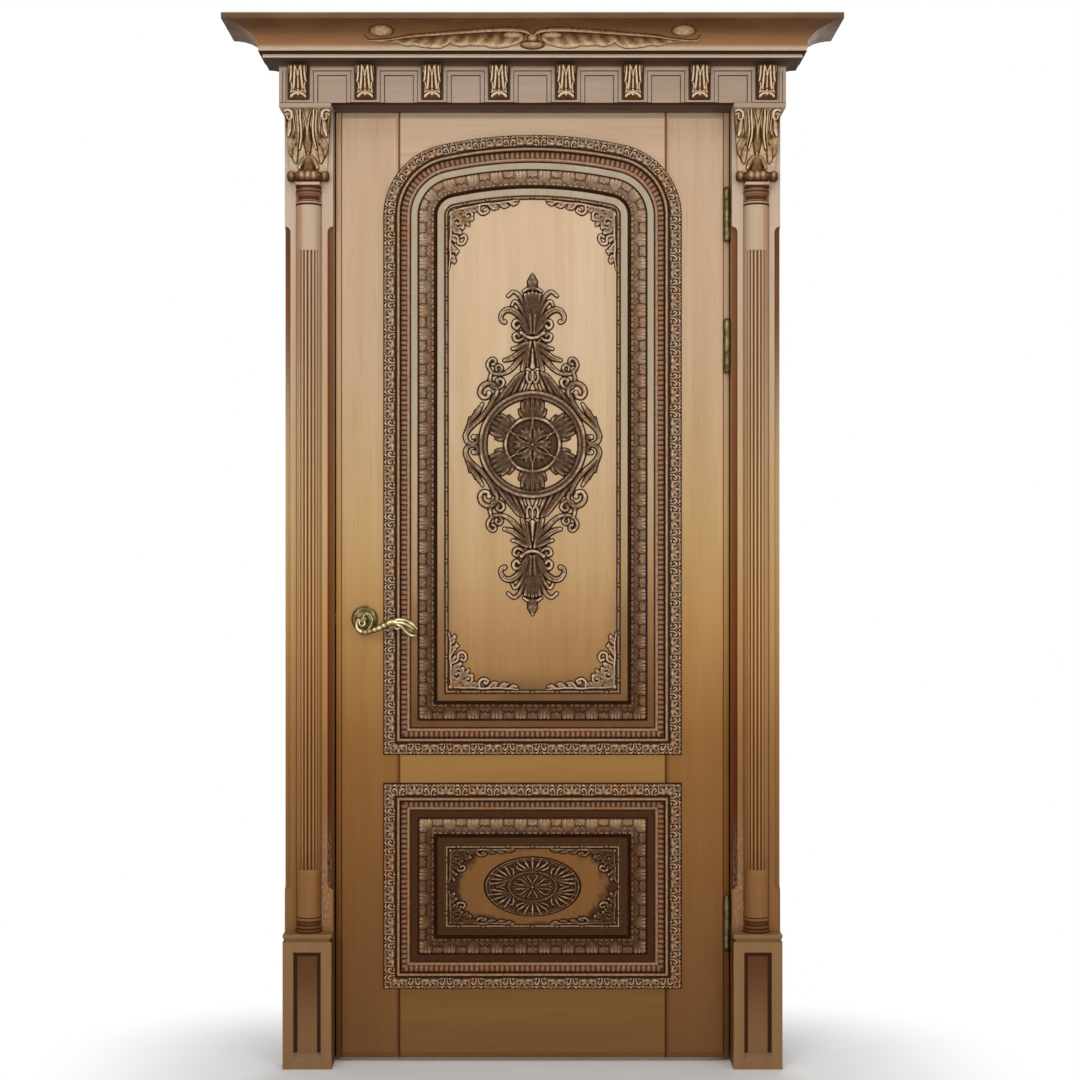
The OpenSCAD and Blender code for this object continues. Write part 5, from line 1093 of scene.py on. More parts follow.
def arch_border(x):
    """Height of the reed's inner edge: the arch in the middle, the shoulder's round near the
    sides."""
    x = np.abs(x)
    inner = ARCH_R - FIELD_INSET
    arch = ARCH_C + np.sqrt(inner**2 - np.clip(x, 0, inner) ** 2)
    r = SHOULDER_R - FIELD_INSET
    round_ = SHOULDER_Z + np.sqrt(np.clip(r**2 - np.clip(x - SHOULDER_X, 0, r) ** 2, 0, None))
    return np.where(x < SHOULDER_X * inner / (ARCH_R - SHOULDER_R), arch, round_)


def corner_set(name, node, across, up, foot_z, head, finish, lift):
    """The corner carving at the four corners of a field; head gives the upper border's height."""
    p, q, t = corner_relief(across, up, lift)
    foot = (p + [-FIELD_X, 0, foot_z], q, t)
    top = p + [-FIELD_X, 0, 0]
    top[:, 2] = head(top[:, 0]) - p[:, 2]
    head_part = (top, q[:, ::-1], t)
    put_mesh(name, *joined([foot, flipped(foot), head_part, flipped(head_part)]), "leaf", finish,
             (node,))


corner_set("upper_carved_corners", "upper_corner_carvings", 1.0, 1.0, UPPER_Z0 + FIELD_INSET,
           arch_border, "carving", 0.10)
corner_set("lower_carved_corners", "lower_corner_carvings", 0.94, 0.58, LOWER_Z0 + FIELD_INSET,
           lambda x: LOWER_Z1 - FIELD_INSET + 0 * x, "bronzed", -0.10)


def oval_medallion():
    """An oval rosette: six sprays of curled leaves from an oval eye to a thin double rim,
    and a flower in the eye. Places are shares of the oval and angles round it."""
    step = 1.1
    v = Relief(np.arange(-104, 104.1, step), np.arange(-67, 67.1, step))
    gx, gz = np.meshgrid(v.xs, v.zs, indexing="ij")
    half = np.array([99.0, 61.0])
    r = np.hypot(gx / half[0], gz / half[1])

    def at(share, degrees):
        return share * half * [np.cos(np.radians(degrees)), np.sin(np.radians(degrees))]

    for middle in (90, 152, 208, 270, 332, 28):
        v.stroke([at(0.54, middle), at(0.76, middle), at(0.98, middle)], [1.6, 2.4, 2.2],
                 [6, 8, 6.5], 0.3)
        for k in (-1, 1):
            v.stroke([at(0.55, middle + k * 4), at(0.76, middle + k * 9),
                      at(0.97, middle + k * 11)], [1.6, 2.6, 2.2], [6, 8, 6], 0.25)
            v.stroke([at(0.56, middle + k * 8), at(0.70, middle + k * 16),
                      at(0.88, middle + k * 21), at(0.94, middle + k * 18)], [1.6, 2.6, 2.4, 1.8],
                     [6, 8, 7, 5], 0.2)
            v.stroke([at(0.56, middle + k * 14), at(0.62, middle + k * 22),
                      at(0.73, middle + k * 27), at(0.78, middle + k * 24)], [1.5, 2.2, 2.0, 1.5],
                     [5, 6.5, 6, 5])
            v.stroke([at(0.84, middle + k * 26)], 2.0, 4.6)
    for k in range(6):
        a = k * 60 + 30
        for turn in (-1, 1):
            v.stroke([at(0.04, a), at(0.20, a + turn * 12), at(0.36, a + turn * 16),
                      at(0.42, a + turn * 6)], [1.2, 2.4, 2.2, 1.4], [8, 9, 7, 5], 0.2)
        v.stroke([at(0.10, a + 30), at(0.40, a + 30)], [1.1, 1.5], [8, 6])
    v.stroke([(0, 0)], 3.4, 10)
    rim = np.interp(r, [0.87, 0.885, 0.90, 0.915, 0.935, 0.955, 0.972, 0.985, 1.0],
                    [1.2, 1.2, 4.6, 4.6, 1.6, 1.6, 4.8, 4.4, 0])
    eye = np.interp(r, [0, 0.3, 0.45, 0.475, 0.49, 0.505, 0.52, 0.54, 0.86],
                    [3.6, 2.8, 2.0, 1.6, 4.8, 5.2, 4.6, 1.2, 1.2])
    ground = np.where(r < 0.87, eye, rim)
    v.height = np.maximum(v.height, ground)
    v.reach = np.maximum(v.reach, (1 - r) * half[1])
    p, q, t = relief_surface(v, 3, 3.4, skirt=2.2, lift=-0.02)
    return p + [0, 0, (LOWER_Z0 + LOWER_Z1) / 2], q, t


put_mesh("lower_carved_medallion", *oval_medallion(), "leaf", "bronzed", ("lower_medallion",))


# Crown carving in the hollow of the crown


def crown_hollow(z):
    """How far the crown's hollow stands ahead of the frieze at a height above its foot."""
    share = np.clip((z / CROWN_H - HOLLOW_FROM) / HOLLOW_SHARE, 0, 1)
    return mix(CROWN_FOOT, CROWN_RISE, 1 - np.sqrt(1 - share**2))


# The ribbon and the drapery's lower edge: millimetres from the middle, above the crown's foot
RIBBON = np.array([(342, 29), (339, 24), (328, 21.5), (291, 24), (257, 29), (222, 32), (187, 34),
                   (115, 38), (66, 40), (26, 39.4), (9, 36), (4, 31)])
DRAPE_EDGE = np.array([(19, 22.5), (30, 14), (50, 8), (66, 5.4), (87, 6.2), (99, 10.6), (112, 10),
                       (128, 11.4), (146, 8), (163, 13), (169, 18), (174, 11.5), (187, 5.4),
                       (203, 4.6), (230, 8), (244, 12.2), (253, 9.8), (263, 10.6), (275, 16.2),
                       (328, 20)])


def crown_carving():
    """A ribbon over a swelling drape with a scalloped edge, oval bosses and a bud, on the hollow.
    The drape's height rises as a quarter round from its edge and falls off to the ribbon."""
    step = 1.25
    v = Relief(np.arange(-350, 350.1, step), np.arange(1.5, 47, 0.7))
    x, z = np.meshgrid(v.xs, v.zs, indexing="ij")
    ax = np.abs(x)
    for s in (-1, 1):
        v.stroke(RIBBON * [s, 1], [1.4, 1.5, 1.6, 1.8, 1.8, 1.8], 7.0)
    upper = np.interp(ax, RIBBON[::-1, 0], RIBBON[::-1, 1])
    lower = np.interp(ax, DRAPE_EDGE[:, 0], DRAPE_EDGE[:, 1])
    share = np.clip((z - lower) / np.maximum(upper - lower, 0.5), -0.2, 1.2)
    along = (ax > 19) & (ax < 330)
    body = (share > 0) & (share < 1) & along
    edge = np.sqrt(1 - (1 - np.clip(share / 0.3, 0, 1)) ** 2)
    folds = np.cos(2 * np.pi * (ax / 29 + 0.7 * share)) * np.sin(np.pi * np.clip(share, 0, 1))
    drape = np.where(body, edge * (6.6 - 4.2 * np.clip((share - 0.3) / 0.7, 0, 1)) + 1.1 * folds, 0)
    # Drape tone: pale by its lower edge and darkening up under the ribbon, painted highlight and
    # painted shade
    drape_light_and_shade = np.where(body,
                    np.interp(share, [0, 0.12, 0.3, 0.6, 0.95],
                              [0.66, 0.84, 0.62, 0.42, 0.10]) + 0.13 * folds, 0)
    domes, dome_highlight_tone = 0 * x, 0 * x
    # Each dome is paler towards its middle and its top: a painted highlight
    for x0, z0, a, b, rise in ((308, 37.0, 24, 8.0, 7.5), (40, 31.6, 22, 5.2, 8.0),
                               (0, 26.5, 11, 6.0, 9.0), (0, 13.0, 24, 9.5, 8.0)):
        inside = np.clip(1 - ((ax - x0) / a) ** 2 - ((z - z0) / b) ** 2, 0, 1)
        domes = np.maximum(domes, rise * np.sqrt(inside))
        dome_highlight_tone = np.where(inside > 0,
                             np.maximum(dome_highlight_tone,
                                        0.22 + 0.52 * np.sqrt(inside) + 0.12 * (z - z0) / b),
                             dome_highlight_tone)
        v.reach = np.maximum(v.reach,
                             np.where(inside > 0, 3.0 * np.sqrt(inside),
                                      (1 - np.hypot((ax - x0) / a, (z - z0) / b)) * b))
    v.reach = np.maximum(v.reach,
                         np.where(body, np.minimum(z - lower, 4.0),
                                  np.where(along & (z < upper), z - lower, -9)))
    # The ribbon is paler on its crest, a painted highlight; cup darkens a curve between the bud's
    # parts, painted shade
    tone = np.where(v.height > drape + 0.4, 0.30 + 0.5 * (v.height / 7.0) ** 2, drape_light_and_shade)
    tone = np.where(domes > np.maximum(v.height, drape), dome_highlight_tone, tone)
    cup = np.exp(-(((z - 19.5 - 0.004 * x**2) / 1.2) ** 2)) * (ax < 20)
    tone = np.clip(tone * (1 - 0.8 * cup), 0, 1)
    v.height = np.maximum(np.maximum(v.height, drape), domes)
    dip = np.clip((-v.reach - 0.7) / 1.2, 0, 1)
    height = np.maximum(v.height, 0.3) - 1.7 * dip
    cells = whole_cells(v.reach > -2.6)
    tone = np.where(v.reach < 0.1, OUTLINE_SHADE, tone)
    part = np.clip((z / CROWN_H - HOLLOW_FROM) / HOLLOW_SHARE, 0, 0.985)
    lean = np.arctan2(part * (CROWN_RISE - CROWN_FOOT) / np.sqrt(1 - part**2),
                      HOLLOW_SHARE * CROWN_H)
    ahead = FRIEZE_RISE + crown_hollow(z) + height * np.cos(lean)
    points = np.stack([x, FACE_Y - ahead, CROWN_Z + z - height * np.sin(lean)], -1)
    quads = grid_quads(len(v.xs), len(v.zs), flip=True)[cells]
    return points, quads, tone


put_mesh("crown_ribbon_carving", *crown_carving(), "frame", "gilded", ("crown_carving",))


# Consoles and brackets: a leaf on an ogee, with its two sides


def faced(xs, zs, front, back_y, tone, taper=None):
    """A carved front on a grid of x by z with a wall on each side that runs back to back_y,
    and a lid on its top and foot. front is how far each point stands ahead of the leaf."""
    x, z = np.meshgrid(xs, zs, indexing="ij")
    if taper is not None:
        x = x * taper[None, :]
    face = np.stack([x, FACE_Y - front, z], -1)
    back = face.copy()
    back[:, :, 1] = back_y
    sheet = np.concatenate([back[:1], face, back[-1:]], 0)
    sheet = np.concatenate([np.where([[[False, True, False]]], back_y, sheet[:, :1]), sheet,
                            np.where([[[False, True, False]]], back_y, sheet[:, -1:])], 1)
    shade = np.pad(tone, ((1, 1), (1, 1)), mode="edge")
    shade[[0, -1]] = 0.25
    return sheet, grid_quads(*sheet.shape[:2], flip=True), shade


# The console's drawing: millimetres of a step across, steps down, and the heights that it fills
CONSOLE_STEP, CONSOLE_STEPS_DOWN = 0.209, 600
CONSOLE_DRAWN = (CONSOLE_Z + 5.0, CONSOLE_TOP)


def console():
    """An ogee with an acanthus leaf: a dart, a middle blade, paired S-shaped ribs, corner scrolls,
    swelling side leaves with hanging tips and a bell husk, over a beaded roll."""
    xs = np.linspace(-CONSOLE_W / 2, CONSOLE_W / 2, 100)
    zs = np.linspace(CONSOLE_Z - 2, CONSOLE_TOP, 130)
    v = Relief(xs, zs)

    def go(points, half, rise, vein=0.0):
        """Drawing steps across from the middle, and down from the slab; the drawing
        is of the tapered face, so it is widened back to the grid."""
        p = np.asarray(points, float)
        t = 1 - p[:, 1] / CONSOLE_STEPS_DOWN
        across = p[:, 0] * CONSOLE_STEP / mix(CONSOLE_TAPER, 1.0, t)
        p = np.stack([across, mix(*CONSOLE_DRAWN, t)], 1)
        for s in (-1, 1):
            v.stroke(p * [s, 1], half, rise, vein)

    go([(0, 4), (0, 50), (0, 95), (0, 140)], [9.0, 7.0, 4.0, 1.4], [8, 9.5, 9, 7])
    go([(46, 10), (26, 90), (9, 180), (3, 300)], [1.6, 2.0, 1.8, 1.4], [8, 10, 9, 7])
    go([(0, 150), (0, 240), (0, 330), (0, 410)], [5, 9, 10.5, 7], [4, 5, 6, 5])
    go([(0, 190), (0, 320)], [1.3, 1.8], [7, 8])
    go([(66, 14), (66, 100), (58, 200), (62, 290), (84, 388)], [2.6, 3.0, 3.2, 3.2, 2.6],
       [8, 11, 12, 12, 9])
    go([(100, 24), (90, 120), (86, 220), (92, 300), (106, 372)], [2.4, 2.8, 3.0, 3.0, 2.4],
       [7, 9.5, 11, 11, 9])
    go([(226, 24), (190, 14), (158, 34), (150, 80), (166, 114), (192, 104), (194, 76)],
       [3.8, 4.0, 4.0, 3.8, 3.6, 3.2, 2.8], [7, 9, 10, 10, 9, 8])
    go([(160, 108), (172, 160), (178, 220), (188, 266)], [3.6, 5.8, 5.8, 3.2], [8, 11, 11, 8], 0.2)
    go([(224, 90), (216, 150), (206, 220)], [3.8, 4.6, 3.2], [7, 9, 7], 0.2)
    go([(136, 14), (132, 110), (124, 190), (120, 250)], [1.8, 2.0, 2.0, 1.8], [6, 8, 8, 6])
    go([(98, 262), (128, 316), (158, 366), (186, 398)], [4.2, 7.0, 7.6, 5.0], [8, 12, 12, 9], 0.15)
    go([(116, 256), (164, 316), (200, 380)], [2.2, 3.0, 2.6], [8, 11, 9])
    go([(120, 384), (128, 430), (130, 480), (124, 515)], [6.4, 8.0, 7.0, 4.0], [10, 11, 9, 6], 0.1)
    go([(164, 392), (170, 424), (160, 458)], [5.2, 5.6, 3.6], [9, 9, 6])
    go([(0, 436)], 3.4, 8)
    go([(0, 470), (0, 512), (0, 566)], [6.5, 13, 15], [9, 12, 10])
    go([(30, 474), (62, 520), (88, 572)], [5, 7, 4.5], [9, 10, 7])
    go([(-84, 590), (0, 586), (84, 590)], 1.6, 4)
    t = np.clip((zs - CONSOLE_Z) / CONSOLE_H, 0, 1)
    bow = t - 0.14 * np.sin(2 * np.pi * t)
    swell = PILASTER_RISE + CONSOLE_RISE * mix(CONSOLE_FOOT, 1.0, bow) - 9.0
    full = np.interp(t, [0, 0.06, 0.9, 1.0], [0.5, 1, 0.9, 0.6])
    front = swell[None, :] + v.height * full[None, :]
    front = np.minimum(front, FRIEZE_RISE - 1.0)
    # Tone: pale ground, crests paler and hollows darker, patina with painted highlights; edge is
    # painted shade round each stroke and gap a painted shadow each side of the leaf
    crest_highlight = v.height / (blur(v.height, 5) + 2.0)
    tone = np.where(v.height < 0.6, 0.80, -0.56 + 1.27 * crest_highlight)
    edge = np.exp(-((v.reach / 0.9) ** 2))
    tone = mix(tone, 0.14, edge)
    wide, tall = np.abs(xs)[:, None], zs[None, :] - CONSOLE_Z
    gap = np.exp(-(((wide - 31) / 6) ** 2) - (((tall - 71) / 6) ** 2))
    bell = np.exp(-((wide / 20) ** 4) - (((tall - 14) / 15) ** 4))
    tone = np.clip(tone * (1 - 0.8 * gap) * (1 - 0.34 * bell), 0, 1)
    taper = mix(CONSOLE_TAPER, 1.0, t)
    parts = [faced(xs, zs, front, PILASTER_Y, tone, taper)]
    # Beaded roll: a barrel between two discs, with three pale bands painted across the barrel
    # and a pale band on each disc as highlights, and painted shade on the roll's underside
    rows, sides = 177, 19
    f = np.linspace(-44, 44, rows)
    a = np.linspace(0, 2 * np.pi, sides)
    far = np.abs(f)
    r = ROLL_R * np.interp(far, [0, 14, 22, 26, 27.4, 29, 30, 39, 41, 43.4, 44],
                           [0.98, 0.96, 0.86, 0.70, 0.62, 0.66, 0.86, 0.86, 0.74, 0.6, 0.05])
    bead = np.interp(far, [0, 2.6, 5.2, 7.6, 10, 12.4, 15, 19, 25, 27.4, 30, 32, 34, 37, 40, 44],
                     [1, 0.8, 0.4, 0.4, 0.8, 1, 0.7, 0.34, 0.2, 0.06, 0.3, 0.6, 0.9, 0.5, 0.25,
                      0.1])
    roll = np.stack([np.repeat(f[:, None], sides, 1), PILASTER_Y - ROLL_R - r[:, None] * np.cos(a),
                     ROLL_Z + r[:, None] * np.sin(a)], -1)
    shade = mix(0.16, 0.86, bead)[:, None] * np.interp(np.sin(a), [-1, -0.5, 0.1, 0.5, 1],
                                                       [0.2, 0.4, 1, 0.9, 0.5])[None, :]
    parts.append((roll, grid_quads(rows, sides, flip=True), shade))
    p, q, t = joined(parts)
    return p + [COLUMN_X, 0, 0], q, t


# The slab's back and front, ahead of the leaf's face; the back lies 24 mm behind the pilaster's
SLAB_BACK, SLAB_FRONT, SLAB_EDGE = -30.0, FRIEZE_RISE, 1.2


def console_slab():
    """The plain slab over a console: a square block with rounded front edges."""
    e, back, front, top = SLAB_EDGE, SLAB_BACK, SLAB_FRONT, ABACUS_H
    outline = np.array([(back, 0), (front - e, 0), (front, e), (front, top - e), (front - e, top),
                        (back, top), (back, 0)])
    n = len(outline)
    ends = np.array([OPEN_X, FRIEZE_X])
    slab = np.stack([np.repeat(ends[:, None], n, 1), np.repeat(FACE_Y - outline[None, :, 0], 2, 0),
                     np.repeat(CONSOLE_TOP + outline[None, :, 1], 2, 0)], -1)
    parts = [(slab, grid_quads(2, n, flip=True), np.full((2, n), 0.5))]
    for k, x in enumerate(ends):
        cap = np.array([[(x, FACE_Y - y, CONSOLE_TOP + z) for y in (back, front)]
                        for z in (0, top)])
        parts.append((cap, grid_quads(2, 2, flip=k == 1), np.full((2, 2), 0.5)))
    return joined(parts)


RIGHT_CONSOLE = console()
put_mesh("right_carved_console", *RIGHT_CONSOLE, "frame", "gilded", ("right_console",))
put_mesh("left_carved_console", *flipped(RIGHT_CONSOLE), "frame", "gilded", ("left_console",))
RIGHT_SLAB = console_slab()
put_mesh("right_console_slab", *RIGHT_SLAB, "frame", "slab", ("right_console",))
put_mesh("left_console_slab", *flipped(RIGHT_SLAB), "frame", "slab", ("left_console",))


# The brackets' drawing: millimetres of a step across, steps down
BRACKET_STEP, BRACKET_STEPS_DOWN = 0.206, 335


def brackets():
    """Small acanthus brackets across the frieze: a leaf of five ribs with a spreading foot over
    an S-shaped front, inside a narrow dark rim of painted shade."""
    xs = np.linspace(-BRACKET_W / 2, BRACKET_W / 2, 46)
    zs = np.linspace(BED_Z - BRACKET_H, BED_Z, 74)
    v = Relief(xs, zs)

    def go(points, half, rise, vein=0.0):
        """Drawing steps across, and down from the top."""
        p = np.asarray(points, float)
        p = np.stack([p[:, 0] * BRACKET_STEP, BED_Z - BRACKET_H * p[:, 1] / BRACKET_STEPS_DOWN], 1)
        for s in (-1, 1):
            v.stroke(p * [s, 1], half, rise, vein)

    go([(0, 60), (0, 140), (0, 225)], [1.2, 1.5, 1.9], [5, 7, 6])
    go([(30, 15), (34, 90), (42, 170), (50, 240)], [1.8, 2.3, 2.6, 2.1], [5, 7, 8, 6], 0.3)
    go([(30, 15), (14, 60), (6, 110)], [2.0, 2.0, 1.2], [5, 6, 5])
    go([(66, 20), (70, 90), (80, 150), (92, 170)], [1.7, 2.2, 2.0, 1.4], [5, 7, 6, 4], 0.3)
    go([(92, 15), (92, 80)], [1.6, 1.8], [4, 5])
    go([(72, 180), (66, 220), (78, 258)], [1.8, 2.4, 1.8], [5, 6, 4])
    go([(0, 250), (0, 285)], [2.6, 4.4], [6, 8])
    go([(0, 275), (44, 285), (84, 312)], [3.6, 3.4, 2.8], [8, 7, 6], 0.15)
    go([(20, 262), (58, 262), (88, 276)], [1.6, 2.0, 1.6], [5, 6, 5])
    t = (zs - zs[0]) / BRACKET_H
    ahead = FRIEZE_RISE + np.interp(t, [0, 0.12, 0.4, 0.7, 0.9, 1.0], [3, 7, 8, 12, 16, 16])
    front = ahead[None, :] + v.height
    # Tone: patina with painted shade and highlights, with painted shade along the sides, the foot
    # and the top, and dark side walls
    tone = np.where(v.height < 0.5, 0.22, tone_of(v.height, 3, 2.4) + 0.04)
    tone = tone * np.interp(np.abs(xs), [18.2, 19.4], [1.0, 0.12])[:, None]
    tone = tone * np.interp(t, [0.0, 0.03, 0.9, 1.0], [0.1, 1, 1, 0.35])[None, :]
    one = faced(xs, zs, front, FRIEZE_Y, np.clip(tone, 0, 1), np.interp(t, [0, 1], [0.86, 1.0]))
    one[2][[0, -1]] = 0.08
    places = (np.arange(BRACKET_COUNT) - (BRACKET_COUNT - 1) / 2) * BRACKET_PITCH
    return joined([(one[0] + [x, 0, 0], one[1], one[2]) for x in places])


put_mesh("frieze_carved_brackets", *brackets(), "frame", "gilded", ("frieze_brackets",))


# Lever handles


TUBE_SIDES = 20


def tube(points, wide, deep, count, beads=None, dim=1.0):
    """A tube of oval section along a smooth line in x and z: wide across, deep towards the
    front; beads gives how many waves the stretch between two shares of its length has, and
    dim lowers the tone."""
    line = spline(points, count)
    t = np.linspace(0, 1, count)
    w = np.interp(t, np.linspace(0, 1, len(wide)), wide)
    d = np.interp(t, np.linspace(0, 1, len(deep)), deep)
    bead = np.ones(count)
    if beads:
        number, first, last = beads
        inside = np.interp(t, [first - 0.02, first, last, last + 0.02], [0, 1, 1, 0])
        bead = 1 - inside * (0.5 + 0.5 * np.cos(2 * np.pi * number * (t - first) / (last - first)))
        w, d = w * (0.84 + 0.16 * bead), d * (0.84 + 0.16 * bead)
    run = np.gradient(line, axis=0)
    run /= np.linalg.norm(run, axis=1, keepdims=True)
    side = np.stack([-run[:, 2], 0 * t, run[:, 0]], 1)
    side /= np.linalg.norm(side, axis=1, keepdims=True) + 1e-9
    a = np.linspace(0, 2 * np.pi, TUBE_SIDES + 1)
    ring = line[:, None] + side[:, None] * (w[:, None] * np.cos(a))[..., None]
    ring[..., 1] -= d[:, None] * np.sin(a)
    # Painted highlight along the front of the tube, dark on its sides and back, and darker between
    # the beads
    tone = np.interp(np.sin(a), [-1, 0.3, 0.8, 1], [0.0, 0.05, 0.34, 0.88])[None, :]
    tone = tone * (0.25 + 0.75 * bead[:, None]) * dim
    ends = [np.repeat(line[k:k + 1, None], TUBE_SIDES + 1, 1) for k in (0, -1)]
    ring = np.concatenate([ends[0], ring, ends[1]], 0)
    tone = np.pad(tone, ((1, 1), (0, 0)), mode="edge")
    return ring, grid_quads(*ring.shape[:2]), tone


def lever():
    """A scrolled lever with a leaf end: a volute at the neck, a waved arm and curling lobes."""

    def at(x, z, ahead):
        """Carver's units from the neck to millimetres."""
        return (x * LEVER_UNIT, -LEVER_REACH - ahead, z * LEVER_UNIT)

    parts = [tube([at(-2, 0, 3), at(-3.4, -3.6, 4), at(-1.0, -6.4, 3), at(2.0, -4.0, 2),
                   at(0.8, 0.4, 1), at(-3.6, 0.2, 0), at(-6.2, -4.6, 0), at(-4.2, -10.2, 0),
                   at(1.0, -12.4, 0), at(8, -11.2, 0), at(15, -8.8, 0), at(22, -5.4, 0),
                   at(29, -2.4, 0), at(35, -3.2, 0), at(39, -7.4, -1)],
                  [2.4, 2.6, 2.6, 2.8, 3.0, 3.4, 4.2, 5.4, 6.6, 6.6, 6.8, 7.2, 7.4, 7.0, 4.6],
                  [3.0, 3.4, 3.4, 3.6, 4.0, 4.4, 4.8, 5.0, 5.2, 5.2, 5.2, 5.0, 4.6, 4.2, 3.0], 160,
                  beads=(5, 0.56, 0.80)),
             tube([at(3, 6.5, 2), at(0.6, 3.0, 2), at(-1.2, 0.0, 2)], [1.6, 2.6, 2.0], [3, 3.4, 3],
                  16),
             tube([at(3, 6.5, 1), at(7.4, 5.2, 0), at(9.4, 0.0, 0), at(8.0, -6.0, 0),
                   at(4.6, -10.4, 0)], [1.8, 2.2, 2.4, 2.4, 2.6], [3.2, 3.6, 3.8, 4.0, 4.4], 40),
             tube([at(30, -1.2, 0), at(36, 0.2, 0.5), at(44, -1.2, 0.5), at(50, -5.2, 0),
                   at(54.2, -9.4, -1)], [2.6, 4.2, 5.0, 4.6, 1.6], [4.0, 3.8, 3.6, 3.2, 1.6], 36),
             tube([at(32, -3.2, 1), at(38, -3.0, 1.6), at(45, -5.6, 1.4), at(51, -9.4, 0)],
                  [3.2, 4.6, 4.8, 2.0], [4.2, 4.2, 3.8, 1.8], 30),
             tube([at(34, -4.8, 1), at(39, -7.2, 1.2), at(43, -12.2, 0.6), at(48, -15.6, 0),
                   at(53, -16.0, -1)], [3.2, 4.4, 4.6, 4.2, 1.8], [3.8, 3.6, 3.4, 3.0, 1.6], 34),
             # A wide dim backing behind the lobes: painted shade in the gaps between them
             tube([at(29, -2.6, -1), at(36, -4.4, -1), at(43, -8.0, -1), at(51, -12.4, -1.6)],
                  [4.0, 8.4, 9.6, 4.0], [2.6, 2.6, 2.4, 1.4], 30, dim=0.3),
             tube([at(33, -5.0, 1), at(32.4, -8.2, 1), at(35.0, -9.4, 1), at(36.6, -7.4, 1)],
                  [2.0, 2.2, 2.0, 1.6], [3.2, 3.2, 3.0, 2.6], 20)]
    # Neck from the rose to the volute
    n = 33
    a = np.linspace(0, 2 * np.pi, n)
    profile = np.array([(8.9, -4), (8.9, -14), (7.0, -20), (6.4, -30), (7.2, -40), (9.0, -47),
                        (9.0, -53), (6.5, -57), (0.05, -58)])
    neck = np.stack([profile[:, :1] * np.cos(a), np.repeat(profile[:, 1:], n, 1),
                     profile[:, :1] * np.sin(a)], -1)
    parts.append((neck, grid_quads(*neck.shape[:2]),
                  np.repeat(np.linspace(0.3, 0.6, len(profile))[:, None], n, 1)))
    p, q, t = joined(parts)
    return p + [HANDLE_X, FACE_Y, HANDLE_Z], q, t


FRONT_LEVER = lever()
put_mesh("front_scrolled_lever", *FRONT_LEVER, "handle", "brass", ("front_lever",))
BACK_LEVER = (FRONT_LEVER[0] * [1, -1, 1] + [0, 2 * FACE_Y + LEAF_T, 0], FRONT_LEVER[1][:, ::-1],
              FRONT_LEVER[2])
put_mesh("back_scrolled_lever", *BACK_LEVER, "handle", "brass", ("back_lever",))


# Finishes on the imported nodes
NODE_FINISH = {"lock_stile": "leaf_upright", "hinge_stile": "leaf_upright",
               "top_rail": "leaf_level", "middle_rail": "leaf_level", "bottom_rail": "leaf_level",
               "upper_panel": "upper_field", "lower_panel": "lower_field",
               "upper_back_mould": "back_level", "lower_back_mould": "back_level",
               "left_jamb": "frame_upright", "right_jamb": "frame_upright",
               "head_jamb": "back_level", "left_pilaster": "pilaster", "right_pilaster": "pilaster",
               "left_column": "column", "right_column": "column", "left_plinth": "plinth",
               "right_plinth": "plinth", "left_plinth_cap": "cap", "right_plinth_cap": "cap",
               "frieze": "frieze", "bed_mould": "crown", "crown_front": "crown",
               "crown_left_return": "crown", "crown_right_return": "crown",
               "cornice_board": "crown", "front_rose": "rose_brass", "back_rose": "rose_brass"}
for name, node in frame["nodes"].items():
    node.data.materials.clear()
    node.data.materials.append(FINISHES[NODE_FINISH.get(name, "plate_brass")])


# Floor, light and camera


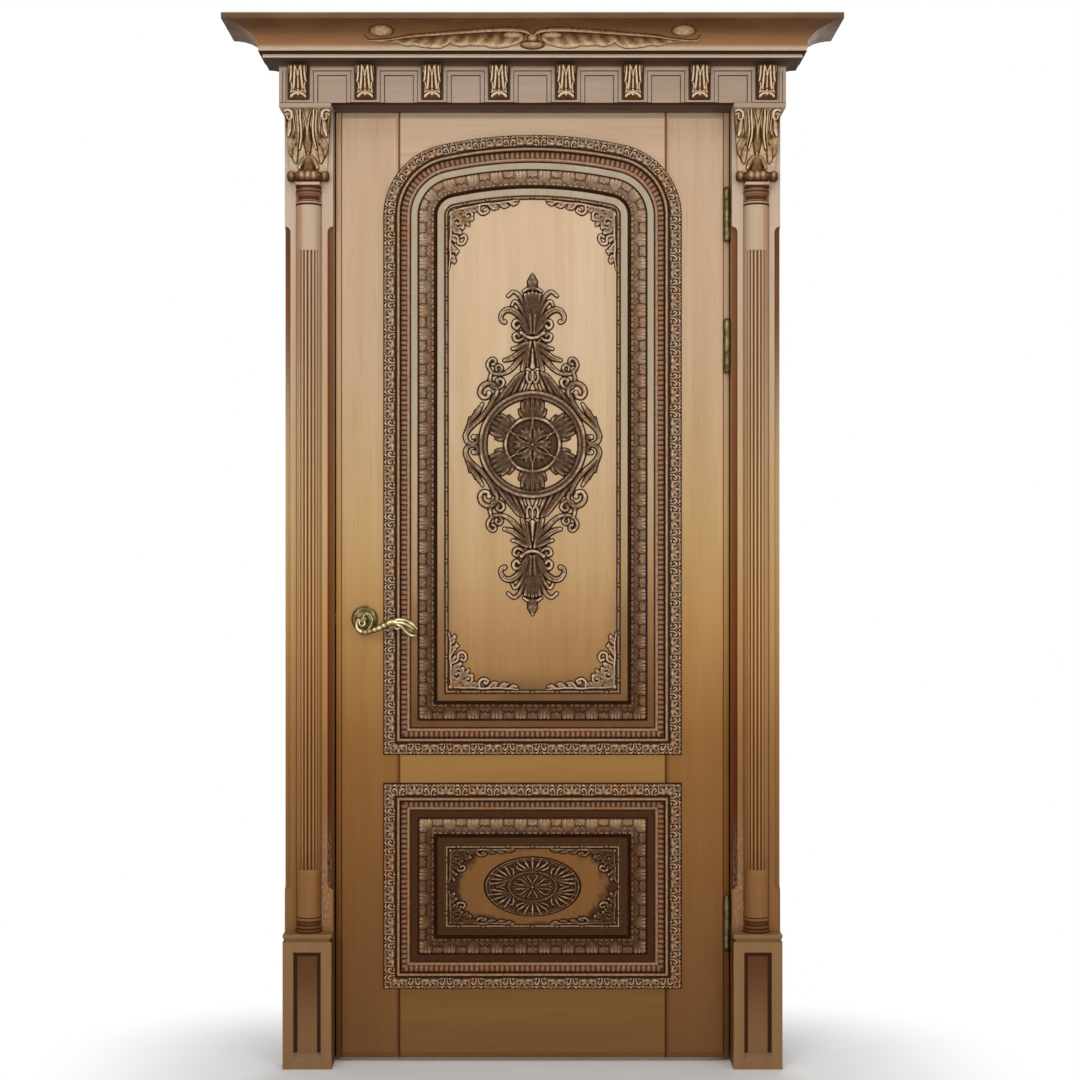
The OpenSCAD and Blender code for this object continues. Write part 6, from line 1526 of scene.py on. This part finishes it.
def floor():
    """A plain pale floor that keeps the shadow near the door and meets the white surroundings:
    its white share grows with the distance beyond the door's foot."""
    f = Finish("floor_white")
    speck = f.noise((6, 6, 6), detail=3)
    lit = f.add("BsdfPrincipled",
                {"Base Color": f.ramp(speck,
                                      [(0.3, (0.90, 0.90, 0.90)), (0.7, (0.93, 0.93, 0.93))]),
                 "Roughness": 0.8, "Specular IOR Level": 0.2})
    dx = f.most(f.less(f.absolute(f.x), 0.5), 0.0)
    dy = f.most(f.less(f.absolute(f.y), 0.1), 0.0)
    away = f.hypot(dx, dy)
    share = f.times(f.span(away, 0.02, 0.55), f.seen())
    white = f.add("Emission", {"Color": (1, 1, 1, 1), "Strength": 1.0})
    f.end(f.add("MixShader", {0: share, 1: lit, 2: white}), "Material")
    mesh = bpy.data.meshes.new("floor")
    mesh.from_pydata([(-9, -6, 0), (9, -6, 0), (9, 9, 0), (-9, 9, 0)], [], [(0, 1, 2, 3)])
    mesh.materials.append(f.material)
    plane = bpy.data.objects.new("floor", mesh)
    bpy.context.collection.objects.link(plane)


def lamp(name, place, target, size, power, tint=(1, 1, 1)):
    """A soft square lamp aimed at a point."""
    data = bpy.data.lights.new(name, "AREA")
    data.size, data.energy, data.color = size, power, tint
    thing = bpy.data.objects.new(name, data)
    thing.location = place
    aim = np.asarray(target, float) - np.asarray(place, float)
    thing.rotation_mode = "QUATERNION"
    thing.rotation_quaternion = Vector(aim).to_track_quat("-Z", "Y")
    bpy.context.collection.objects.link(thing)


def world():
    """White to the camera and to gloss, a soft even light to the rest."""
    w = bpy.data.worlds.new("white_room")
    w.use_nodes = True
    n = Nodes(w.node_tree)
    soft, white = (n.add("Background", {0: (1, 1, 1, 1), 1: power}) for power in (0.34, 1.0))
    n.end(n.add("MixShader", {0: n.seen(), 1: soft, 2: white}), "World")
    bpy.context.scene.world = w


floor()
world()
lamp("key", (-1.3, -4.6, 2.3), (0, 0, 1.1), 2.2, 90, (1.0, 0.98, 0.95))
lamp("fill", (2.3, -4.2, 1.5), (0, 0, 1.0), 2.4, 43)
lamp("top", (0.2, -2.4, 4.4), (0, 0, 1.0), 1.8, 25)
lamp("back", (0.5, 3.4, 2.6), (0, 0, 1.1), 2.4, 48)

# Camera's distance from the leaf's face, and the width of the leaf's plane that it sees
AWAY, SIGHT = 4.2, 2.268
camera = bpy.data.objects.new("camera", bpy.data.cameras.new("camera"))
camera.location = (0.0, FACE_Y * MM - AWAY, 1.05)
camera.rotation_euler = (np.pi / 2, 0, 0)
camera.data.lens = camera.data.sensor_width * AWAY / SIGHT
camera.data.shift_x, camera.data.shift_y = 0.00694, 0.0207
bpy.context.collection.objects.link(camera)
scene = bpy.context.scene
scene.camera = camera
scene.view_settings.view_transform = "Standard"
